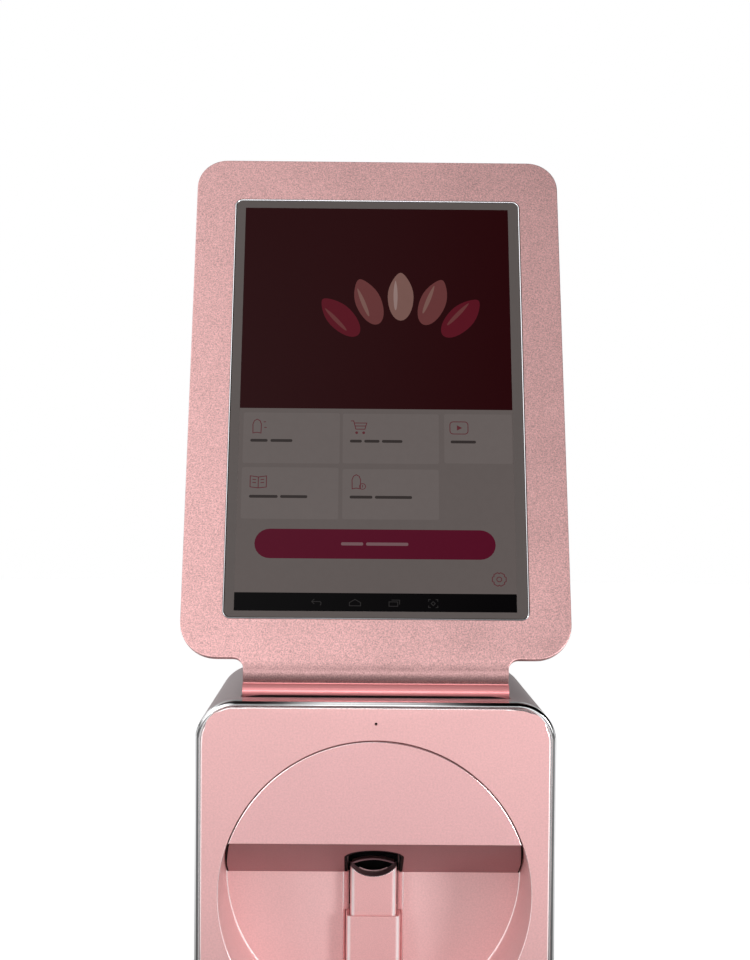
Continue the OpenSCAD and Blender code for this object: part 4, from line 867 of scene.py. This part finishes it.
def inkLine(points, centre, layer, ink, closed=False, width=None):
    half = (width or picture["line"]) / 2
    places = [Vector((centre[0] + x, centre[1] + u)) for x, u in points]
    count = len(places)
    sides = []
    for i, here in enumerate(places):
        before = places[i - 1] if closed or i else here
        after = places[(i + 1) % count] if closed or i < count - 1 else here
        one, two = (here - before), (after - here)
        one = one.normalized() if one.length else two.normalized()
        two = two.normalized() if two.length else one
        along = (one + two).normalized() if (one + two).length > 0.2 else one
        reach = half / max(0.5, along.dot(one))
        across = Vector((-along.y, along.x)) * reach
        sides.append((here - across, here + across))
    for i in range(count if closed else count - 1):
        a, b = sides[i], sides[(i + 1) % count]
        inkFace([a[0], b[0], b[1], a[1]], layer, ink)


def inkDisc(x, u, radius, layer, ink):
    inkFace(arc(x, u, radius, 0, 360, 20)[:-1], layer, ink)


bm = bmesh.new()
inkBox(picture["left"], picture["right"], picture["low"], picture["high"], 0.2, 1, "ground")
inkBox(picture["left"], picture["right"], picture["bannerLow"], picture["high"], 0.2, 2, "banner")
inkBox(picture["left"], picture["right"], picture["low"], picture["navTop"], 0.2, 2, "nav")
cards = [(-66.4, -18.4, 114.5, 141.4), (-16.9, 30.9, 114.7, 141.2), (33.6, 67.4, 115.1, 141.4),
         (-66.5, -18.8, 85.4, 112.3), (-16.8, 30.7, 85.5, 111.7)]
for left, right, low, high in cards:
    inkBox(left, right, low, high, 1.0, 2, "card")
inkBox(-59.4, 58.2, 65.2, 80.3, 7.5, 2, "pill")
labels = [(-62.8, -54.2, 126.5), (-52.8, -41.9, 126.5), (-13.3, -7.4, 126.5), (-6.2, 1.4, 126.5),
          (2.6, 12.8, 126.5),
          (36.8, 49.4, 126.5), (-62.7, -48.6, 97), (-47.4, -34, 97), (-13.2, -2, 97), (-0.8, 17.5, 97)]
for left, right, level in labels:
    inkBox(left, right, level - 0.75, level + 0.75, 0.7, 3, "label")
for left, right in ((-17.2, -6.4), (-5.0, 15.6)):
    inkBox(left, right, 72.0, 73.6, 0.7, 3, "pillLabel")

nail = ((-2, -3.6), (-2.1, 1.2), (-1.4, 3), (0, 3.8), (1.4, 3), (2.1, 1.2), (2, -3.6), (0, -3.2))
basket = ((-4, 3), (-2.6, 3), (-1.5, -1.4), (3, -1.4), (3.9, 1.9), (-2.2, 1.9))
pages = ((-4, -2.8), (-4, 3), (0, 2.4), (4, 3), (4, -2.8), (0, -3.3))
cog = [(radius * math.cos(math.radians(60 * i + offset)), radius * math.sin(math.radians(60 * i + offset)))
       for i in range(6) for offset, radius in ((-17, 3.5), (17, 3.5), (30, 2.9))]
clockRim, cogHole = (arc(0, 0, radius, 0, 360, steps)[:-1] for radius, steps in ((1.5, 14), (1.2, 16)))
# Lines of the symbols on the cards: points, centre, whether the line closes, width
symbols = (
    (nail, (-59.6, 134), True), (((3.2, 2.4), (4.4, 2.4)), (-59.6, 134)),
    (((3.6, -0.6), (4.8, -0.6)), (-59.6, 134)),
    (basket, (-8.9, 134.3)), (((-1.9, 0.3), (3.4, 0.3)), (-8.9, 134.3)),
    (roundedLoop(9, 6.5, 1.6, 4), (41, 134), True),
    (pages, (-58.3, 104.7), True), (((0, 2.4), (0, -3.3)), (-58.3, 104.7)),
    (((-2.9, 1.2), (-1.1, 1.0)), (-58.3, 104.7)), (((1.1, 1.0), (2.9, 1.2)), (-58.3, 104.7)),
    (((-2.9, -0.4), (-1.1, -0.6)), (-58.3, 104.7)), (((1.1, -0.6), (2.9, -0.4)), (-58.3, 104.7)),
    (nail, (-10, 104.9), True), (clockRim, (-6.9, 102.6), True, 0.35),
    (((0, 0.8), (0, -0.6)), (-6.9, 102.6), False, 0.35),
    (cog, (59.6, 55.3), True), (cogHole, (59.6, 55.3), True),
)
for points, centre, *more in symbols:
    inkLine(points, centre, 3, "symbol", *more)
for x in (-10, -6.5):
    inkDisc(x, 131, 0.7, 3, "symbol")
inkFace([(40, 132.6), (42.6, 134), (40, 135.4)], 3, "symbol")

# Lines of the row of symbols at the foot: points, place across, whether the line closes
footSymbols = [
    (((1.9, -1.3), (2.4, -0.8), (2.4, 0.2), (1.9, 0.6), (-2, 0.6)), -29, False),
    (((-0.8, 1.8), (-2.1, 0.6), (-0.8, -0.6)), -29, False),
    (((-2.7, -1.4), (-2.7, 0.2), (0, 1.8), (2.7, 0.2), (2.7, -1.4)), -10.2, True),
    (((-2.6, -1.5), (-2.6, 0.7), (1.6, 0.7), (1.6, -1.5)), 8.8, True),
    (((-1.4, 1.6), (2.5, 1.6), (2.5, -0.6)), 8.8, False),
    (((0, 1), (1, 0), (0, -1), (-1, 0)), 27.5, True),
]
footSymbols += [(((sx * 2.2, su * 1), (sx * 2.2, su * 2), (sx * 1.2, su * 2)), 27.5, False)
                for sx in (-1, 1) for su in (-1, 1)]
for points, across, closed in footSymbols:
    inkLine(points, (across, picture["navLevel"]), 3, "navSymbol", closed, picture["navLine"])

# Five plain nail tips in a fan stand where the banner needs a picture
tips = {"centre": (12.0, 160.0), "reach": 46.0, "length": 27.0, "half": 6.6, "spread": 21.0, "steps": 32,
        "swell": 0.35, "shineSize": (0.16, 0.62), "shineShift": (-2.6, 0.6)}
tipShape = []
for k in range(tips["steps"]):
    a = math.pi * 2 * k / tips["steps"]
    swell = 1 if math.sin(a) < 0 else 1 - tips["swell"] * math.sin(a) ** 2
    tipShape.append((tips["half"] * math.cos(a) * swell, tips["length"] / 2 * math.sin(a)))
shineShape = [(x * tips["shineSize"][0] + tips["shineShift"][0],
               u * tips["shineSize"][1] + tips["shineShift"][1])
              for x, u in tipShape]
tipInks = (("nailWine", "nailRose"), ("nailRose", "nailPale"), ("nailPale", "shine"),
           ("nailRose", "nailPale"),
           ("nailWine", "nailRose"))
for i, tipInk in enumerate(tipInks):
    lean = math.radians((2 - i) * tips["spread"])
    across, along = Vector((math.cos(lean), math.sin(lean))), Vector((-math.sin(lean), math.cos(lean)))
    middle = Vector(tips["centre"]) + along * tips["reach"]
    for layer, (ink, shape) in enumerate(zip(tipInk, (tipShape, shineShape)), 3):
        inkFace([middle + across * x + along * u for x, u in shape], layer, ink)
addPiece("screenPicture", bm, inkMaterials, "display", (), displayTurn, even=False)
print("stage: display made")

# Fasteners, springs, thread, belt and screens, grown from the node trees
toRear = Matrix.Rotation(math.radians(-90), 4, "X")
toFloor = Matrix.Rotation(math.radians(180), 4, "X")


def rearPoint(x, depth, z):
    return x * mm, -z * mm, frontY + depth * mm


def middleOf(node):
    low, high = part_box(node)
    return [(a + b) / 2 for a, b in zip(low, high)]


def screwSizes(head, height, recess, shank, length):
    return {"Head Radius": head * mm, "Head Height": height * mm, "Recess": recess * mm,
            "Shank Radius": shank * mm, "Shank Length": length * mm}


screws = {"head": 2.8, "recess": 1.3, "shank": 1.5, "rearHead": 1.8, "rearLength": 13.4, "footHead": 0.5,
          "footLength": 8.1, "footSeat": 0.8}
low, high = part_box("rear_screws")
rearX, rearTop = high[0] / mm - screws["head"], (high[1] - frontY) / mm
growPiece("rearScrewSet", screwTree,
          [rearPoint(sx * rearX, rearTop - screws["rearHead"], z) for sx in (-1, 1)
           for z in (low[2] / mm + screws["head"], high[2] / mm - screws["head"])],
          screwSizes(screws["head"], screws["rearHead"], screws["recess"], screws["shank"],
                     screws["rearLength"]),
          groundSteel, "housing", ("rear_screws",), toRear)
low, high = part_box("foot_screws")
growPiece("footScrewSet", screwTree,
          [(sx * (high[0] - screws["head"] * mm), -y, -screws["footSeat"] * mm) for sx in (-1, 1)
           for y in (low[1] + screws["head"] * mm, high[1] - screws["head"] * mm)],
          screwSizes(screws["head"], screws["footHead"], screws["recess"], screws["shank"],
                     screws["footLength"]),
          groundSteel, "housing", ("foot_screws",), toFloor)

coverScrew = {"x": 72.0, "z": 121.25, "level": 149.75, "seat": 7.9}
growPiece("displayScrewSet", screwTree,
          [(sx * coverScrew["x"] * mm, -(coverScrew["level"] + sz * coverScrew["z"]) * mm,
            coverScrew["seat"] * mm)
           for sx in (-1, 1) for sz in (-1, 1)],
          screwSizes(2.5, 1.4, 1.1, 1.2, 8.0), groundSteel, "display", (), displayTurn @ toRear)

# Wound springs, as long as the CAD springs less a gap at each end
springs = {"radius": 3.5, "steps": 24, "sides": 8, "restTurns": 8.0, "restWire": 0.48, "restEnd": 0.5,
           "restKeep": 0.66, "buttonTurns": 3.5, "buttonWire": 0.38, "buttonEnd": 0.4, "buttonKeep": 0.7}


def springSizes(height, turns, wire):
    return {"Radius": springs["radius"] * mm, "Height": height, "Turns": turns, "Wire": wire * mm,
            "Steps": springs["steps"], "Sides": springs["sides"]}


low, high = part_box("rest_spring")
middle = middleOf("rest_spring")
end = springs["restEnd"] * mm
coil = growPiece("restSpringCoil", coilTree, [(0, middle[1], low[2] + end)],
                 springSizes(high[2] - low[2] - 2 * end, springs["restTurns"], springs["restWire"]),
                 groundSteel,
                 bodyOf["rest_spring"], ("rest_spring",))
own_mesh(coil)
low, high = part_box("button_spring")
middle = middleOf("button_spring")
end = springs["buttonEnd"] * mm
coil = growPiece("buttonSpringCoil", coilTree, [(middle[0], -middle[2], low[1] + end)],
                 springSizes(high[1] - low[1] - 2 * end, springs["buttonTurns"], springs["buttonWire"]),
                 groundSteel,
                 bodyOf["button_spring"], ("button_spring",), toRear)
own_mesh(coil)

# Dust screens behind the slots of the rear cover and of the display's back: width, low, high, depth
screens = {"step": 1.15, "bar": (0.5, 0.7), "rear": (98, 79.5, 115.5, 164.9),
           "display": (86, 43.5, 62.5, 8.3)}
for name, body, front, turn in (("rear", "housing", frontY, None), ("display", "display", 0, displayTurn)):
    wide, low, high, depth = screens[name]
    growPiece(name + "DustScreen", rowTree, [(0, front + depth * mm, low * mm)],
              {"Count": int((high - low) / screens["step"]), "Step": (0, 0, screens["step"] * mm),
               "Bar": (wide * mm, screens["bar"][0] * mm, screens["bar"][1] * mm)},
              blackPlastic, body, (), turn)

# Lead screw: a core with a wound thread on it, and its coupling
lead = {"x": -34.0, "z": 88.0, "start": 91.5, "coupler": 98.5, "couplerEnd": 108.5, "end": 157.0,
        "pitch": 2.0,
        "core": 2.05, "coupling": 5.5, "ease": 0.4, "steps": 32, "threadRadius": 2.1, "threadFrom": 0.6,
        "threadShort": 1.5, "threadWire": 0.38, "threadSteps": 20, "threadSides": 6}
narrow, wide, ease = lead["core"], lead["coupling"], lead["ease"]
turned = ((narrow, lead["start"]), (narrow, lead["coupler"]), (wide - ease, lead["coupler"]),
          (wide, lead["coupler"] + ease), (wide, lead["couplerEnd"] - ease),
          (wide - ease, lead["couplerEnd"]),
          (narrow, lead["couplerEnd"]), (narrow, lead["end"] - ease), (narrow - ease, lead["end"]))
bm = bmesh.new()
loft(bm, [[bm.verts.new(((lead["x"] + x) * mm, frontY + depth * mm, (lead["z"] + z) * mm))
           for x, z in arc(0, 0, radius, 0, 360, lead["steps"])[:-1]] for radius, depth in turned])
addPiece("leadScrewCore", bm, groundSteel, "lead_screw", ("feed_screw",), sharp=35)
threadLength = lead["end"] - lead["couplerEnd"] - lead["threadShort"]
growPiece("leadScrewThread", coilTree, [rearPoint(lead["x"], lead["couplerEnd"] + lead["threadFrom"],
                                                  lead["z"])],
          {"Radius": lead["threadRadius"] * mm, "Height": threadLength * mm,
           "Turns": threadLength / lead["pitch"],
           "Wire": lead["threadWire"] * mm, "Steps": lead["threadSteps"], "Sides": lead["threadSides"]},
          groundSteel, "lead_screw", (), toRear)

# Toothed belt round both pulleys
belt = {"radius": 6.8, "steps": 24, "end": 7.1, "pitch": 2.0, "tooth": (0.5, 2.5, 0.9), "high": 0.6,
        "wide": 2.6}
low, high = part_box("scan_belt")
middle = middleOf("scan_belt")
ends = ((high[0] / mm - belt["end"], -90), (low[0] / mm + belt["end"], 90))
outline = [point for x, start in ends
           for point in arc(x, middle[2] / mm, belt["radius"], start, start + 180, belt["steps"])]
growPiece("toothedBelt", beltTree, [(x * mm, -z * mm, middle[1]) for x, z in outline],
          {"Pitch": belt["pitch"] * mm, "Tooth": tuple(size * mm for size in belt["tooth"]),
           "Band Height": belt["high"] * mm, "Band Width": belt["wide"] * mm, "Lift": 0.0}, rubber,
          bodyOf["scan_belt"], ("scan_belt",), toRear,
          [(i, (i + 1) % len(outline)) for i in range(len(outline))])

# Lamp dots under the camera, and parts on the main board
dots = {"count": 12, "reach": 8, "sink": 0.05, "radius": 1.2, "top": 0.8, "high": 0.5, "sides": 14}
low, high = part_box("ring_light")
middle = middleOf("ring_light")
turns = [2 * math.pi * i / dots["count"] for i in range(dots["count"])]
growPiece("ringLampDots", studTree,
          [(middle[0] + dots["reach"] * mm * math.cos(a), -(middle[1] + dots["reach"] * mm * math.sin(a)),
            -low[2] - dots["sink"] * mm) for a in turns],
          {"Radius": dots["radius"] * mm, "Top": dots["top"] * mm, "Height": dots["high"] * mm,
           "Sides": dots["sides"]},
          lampClear, bodyOf["ring_light"], (), toFloor)

# Height of the board's top, and the places (x, y) of the parts on it
board = {
    "top": 23.6,
    "cans": ((-44, 8), (-44, 18), (-34, 8), (36, 2), (44, 2), (28, 50), (-24, 54), (-2, 56)),
    "pins": ((-48, 34), (-48, 36.6), (24, 14), (24, 16.6), (-26, -8), (-26, -5.4)),
    "chips": ((-40, 46), (22, 28), (-12, 42), (22, 36)),
}


def onBoard(name, tree, lift, values, material):
    places = [(x * mm, y * mm, (board["top"] + lift) * mm) for x, y in board[name]]
    growPiece("board" + name.capitalize(), tree, places, values, material, "housing", ())


onBoard("cans", studTree, -0.05, {"Radius": 3 * mm, "Top": 2.85 * mm, "Height": 8 * mm, "Sides": 20},
        motorBlack)
onBoard("pins", rowTree, 2.2, {"Count": 9, "Step": (2.54 * mm, 0, 0),
                               "Bar": (0.64 * mm, 0.64 * mm, 4.6 * mm)}, brass)
onBoard("chips", rowTree, 0.7, {"Count": 2, "Step": (14 * mm, 0, 0), "Bar": (8 * mm, 6 * mm, 1.5 * mm)},
        inkBody)
print("stage: repeated parts grown")

# Inner parts with eased edges: the width of the ease, and the nodes that have it
eased = {
    0.12: "usb_sockets main_board drive_pulley idler_pulley board_posts",
    0.2: "side_plate_left side_plate_right deck_plate top_bridge base_plate motor_bracket screw_bracket"
         " screw_bearing carriage_bushes camera_lens ring_light hinge_bracket status_lamp",
    0.25: "cartridge_latch power_inlet hood_magnets body_magnets",
    0.3: "feed_nut gantry_frame carriage finger_tray scan_rods rest_guide_pins",
    0.4: "rod_holders service_base service_cap power_switch display_module feed_rods",
    0.5: "feed_motor scan_motor ink_cartridge nail_camera",
    0.6: "finger_stop",
}


# A narrower ease is tried where the full one opens the mesh, or takes or adds too much
def easedCopy(node, width):
    for part in (1, 0.5, 0.25):
        bm = merged(node)
        before = bm.calc_volume()
        low, high = (Vector(c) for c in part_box(node))
        soften(bm, width * part * mm, 2, 30)
        closed = all(len(e.link_faces) == 2 for e in bm.edges)
        outside = max(max((low - v.co)[i], (v.co - high)[i]) for v in bm.verts for i in range(3))
        if closed and 0.85 < bm.calc_volume() / before < 1.005 and outside < 0.02 * mm:
            addPiece(node + "Eased", bm, finishes[node], bodyOf[node], (node,))
            return
        bm.free()
    print("note: kept plain", node)


for width, names in eased.items():
    for node in names.split():
        easedCopy(node, width)
addPiece("display_backEased", merged("display_back", 0), coverPlastic, bodyOf["display_back"],
         ("display_back",),
         even=False)
print("stage: inner parts eased")

# Camera, fitted to the photograph's frame of 750 by 960
view = {"focal": 1678.13, "cx": 367.15, "cy": 541.08, "place": (-11.34, -857.95, 289.0), "pitch": 2.02,
        "yaw": 0.48, "roll": 0.47, "width": 750, "height": 960, "sensor": 36}
camera = bpy.data.cameras.new("photoCamera")
cameraObj = bpy.data.objects.new("photoCamera", camera)
scene.collection.objects.link(cameraObj)
pitch, yaw, roll = (math.radians(view[k]) for k in ("pitch", "yaw", "roll"))
forward = Vector((math.sin(yaw) * math.cos(pitch), math.cos(yaw) * math.cos(pitch), -math.sin(pitch)))
right = forward.cross(Vector((0, 0, 1))).normalized()
up = right.cross(forward)
rolledRight = right * math.cos(roll) + up * math.sin(roll)
rolledUp = up * math.cos(roll) - right * math.sin(roll)
turn = Matrix((rolledRight, rolledUp, -forward)).transposed().to_4x4()
cameraObj.matrix_world = Matrix.Translation(Vector(view["place"]) * mm) @ turn
camera.sensor_fit = "VERTICAL"
camera.sensor_height = view["sensor"]
camera.lens = view["focal"] / view["height"] * view["sensor"]
camera.shift_y = (view["cy"] - view["height"] / 2) / view["height"]
camera.shift_x = (view["width"] / 2 - view["cx"]) / view["height"]
camera.clip_start = 0.01
camera.clip_end = 50
scene.camera = cameraObj

# Floor, lamps and world: the camera sees a pale floor that keeps its shadow, and reflections see it dark
# close by, pale far away and glowing at both flanks
ground = {"half": 4, "stretch": (1, 2.4, 1), "near": (0.33, 0.75), "nearTone": (0.1, 0.9),
          "flank": (0.16, 0.3),
          "flankGlow": 0.5, "cameraGlow": 0.55}
bm = bmesh.new()
bm.faces.new([bm.verts.new((x * ground["half"], y * ground["half"], 0)) for x,
              y in ((-1, -1), (1, -1), (1, 1), (-1, 1))])
floorMesh = bpy.data.meshes.new("floor")
bm.to_mesh(floorMesh)
bm.free()
floor = bpy.data.objects.new("floor", floorMesh)
scene.collection.objects.link(floor)
floorMaterial = bpy.data.materials.new("floorPale")
floorMaterial.use_nodes = True
tree = floorMaterial.node_tree
rays = addNode(tree, "ShaderNodeLightPath").outputs
place = addNode(tree, "ShaderNodeTexCoord").outputs["Object"]
place = addNode(tree, "ShaderNodeMapping", {"Vector": place, "Scale": ground["stretch"]}).outputs[0]
reach = addNode(tree, "ShaderNodeVectorMath", {0: place}, operation="LENGTH").outputs["Value"]
sideways = mathNode(tree, "ABSOLUTE", addNode(tree, "ShaderNodeSeparateXYZ", {0: place}).outputs["X"], 0)
mirrored = times(tree, spread(tree, reach, *ground["near"], *ground["nearTone"]), rays["Is Glossy Ray"])
flankGlow = times(tree, spread(tree, sideways, *ground["flank"], 0, ground["flankGlow"]),
                  rays["Is Glossy Ray"])
tone = larger(tree, larger(tree, mirrored, ground["nearTone"][0]), rays["Is Camera Ray"])
tint = addNode(tree, "ShaderNodeCombineXYZ", {"X": tone, "Y": tone, "Z": tone}).outputs[0]
shader = tree.nodes["Principled BSDF"]
shader.inputs["Roughness"].default_value = 0.8
shader.inputs["Emission Color"].default_value = (1, 1, 1, 1)
tree.links.new(tint, shader.inputs["Base Color"])
cameraGlow = times(tree, rays["Is Camera Ray"], ground["cameraGlow"])
tree.links.new(plus(tree, cameraGlow, flankGlow), shader.inputs["Emission Strength"])
floorMesh.materials.append(floorMaterial)
floor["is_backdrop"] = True

lamps = {
    "leftSoft": {"place": (-0.95, -1.25, 0.6), "aim": (0, 0, 0.2), "size": (0.4, 0.7), "power": 4.6},
    "rightSoft": {"place": (0.95, -1.25, 0.42), "aim": (0, 0, 0.15), "size": (0.35, 0.5), "power": 9.4},
    "frontLow": {"place": (-0.1, -1.9, 0.38), "aim": (0, 0, 0.15), "size": (0.8, 0.4), "power": 3.4},
}
for name, lamp in lamps.items():
    data = bpy.data.lights.new(name, "AREA")
    data.shape = "RECTANGLE"
    data.size, data.size_y = lamp["size"]
    data.energy = lamp["power"]
    obj = bpy.data.objects.new(name, data)
    scene.collection.objects.link(obj)
    obj.location = lamp["place"]
    obj.rotation_euler = (Vector(lamp["aim"]) - Vector(lamp["place"])).to_track_quat("-Z", "Y").to_euler()

# Reflections see white with a dark ceiling, a bright strip in it, a bright left side and two narrow dark bands
sky = {"diffuse": 0.48, "ceiling": 0.05, "rear": 0.45, "left": 2.0, "right": 0.0, "foot": 0.5, "band": 0.0,
       "strip": (0.015, 0.03, 0.075), "ceilingRise": (0.68, 0.86), "rearRun": (0.1, 0.7),
       "aloftRise": (0.12, 0.4),
       "sideRun": (-0.15, 0.15), "footRise": (0.5, 0.68), "bandIn": (0.91, 0.93), "bandOut": (0.965, 0.98)}
world = bpy.data.worlds.new("plainLight")
scene.world = world
world.use_nodes = True
tree = world.node_tree
rays = addNode(tree, "ShaderNodeLightPath").outputs
way = addNode(tree, "ShaderNodeTexCoord").outputs["Generated"]
across, along, upward = addNode(tree, "ShaderNodeSeparateXYZ", {0: way}).outputs


def smooth(value, run, low, high):
    return spread(tree, value, *run, low, high, "SMOOTHSTEP")


# How far a light differs from 1, and only in reflections from above the horizon
def tinted(light):
    return plus(tree, times(tree, mathNode(tree, "SUBTRACT", light, 1), aloft), 1)


aloft = smooth(upward, sky["aloftRise"], 0, 1)
fromStrip = mathNode(tree, "ABSOLUTE", mathNode(tree, "SUBTRACT", across, sky["strip"][0]), 0)
ceiling = larger(tree, smooth(upward, sky["ceilingRise"], 1, sky["ceiling"]),
                 smooth(fromStrip, sky["strip"][1:], 1, 0))
rear = smooth(along, sky["rearRun"], 1, sky["rear"])
sides = tinted(smooth(across, sky["sideRun"], sky["left"], sky["right"]))
foot = tinted(smooth(upward, sky["footRise"], sky["foot"], 1))
wide = mathNode(tree, "ABSOLUTE", across, 0)
band = times(tree, smooth(wide, sky["bandIn"], 0, 1), smooth(wide, sky["bandOut"], 1, 0))
band = smooth(band, (0, 1), 1, sky["band"])
glossy = times(tree, times(tree, ceiling, rear), times(tree, times(tree, sides, foot), band))
glossy = times(tree, rays["Is Glossy Ray"], glossy)
clear = larger(tree, rays["Is Camera Ray"], rays["Is Transmission Ray"])
lit = times(tree, rays["Is Diffuse Ray"], sky["diffuse"])
back = tree.nodes["Background"]
back.inputs["Color"].default_value = (1, 1, 1, 1)
tree.links.new(larger(tree, larger(tree, glossy, clear), lit), back.inputs["Strength"])
scene.view_settings.view_transform = "Standard"
print("stage: camera and lamps set")

low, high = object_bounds()
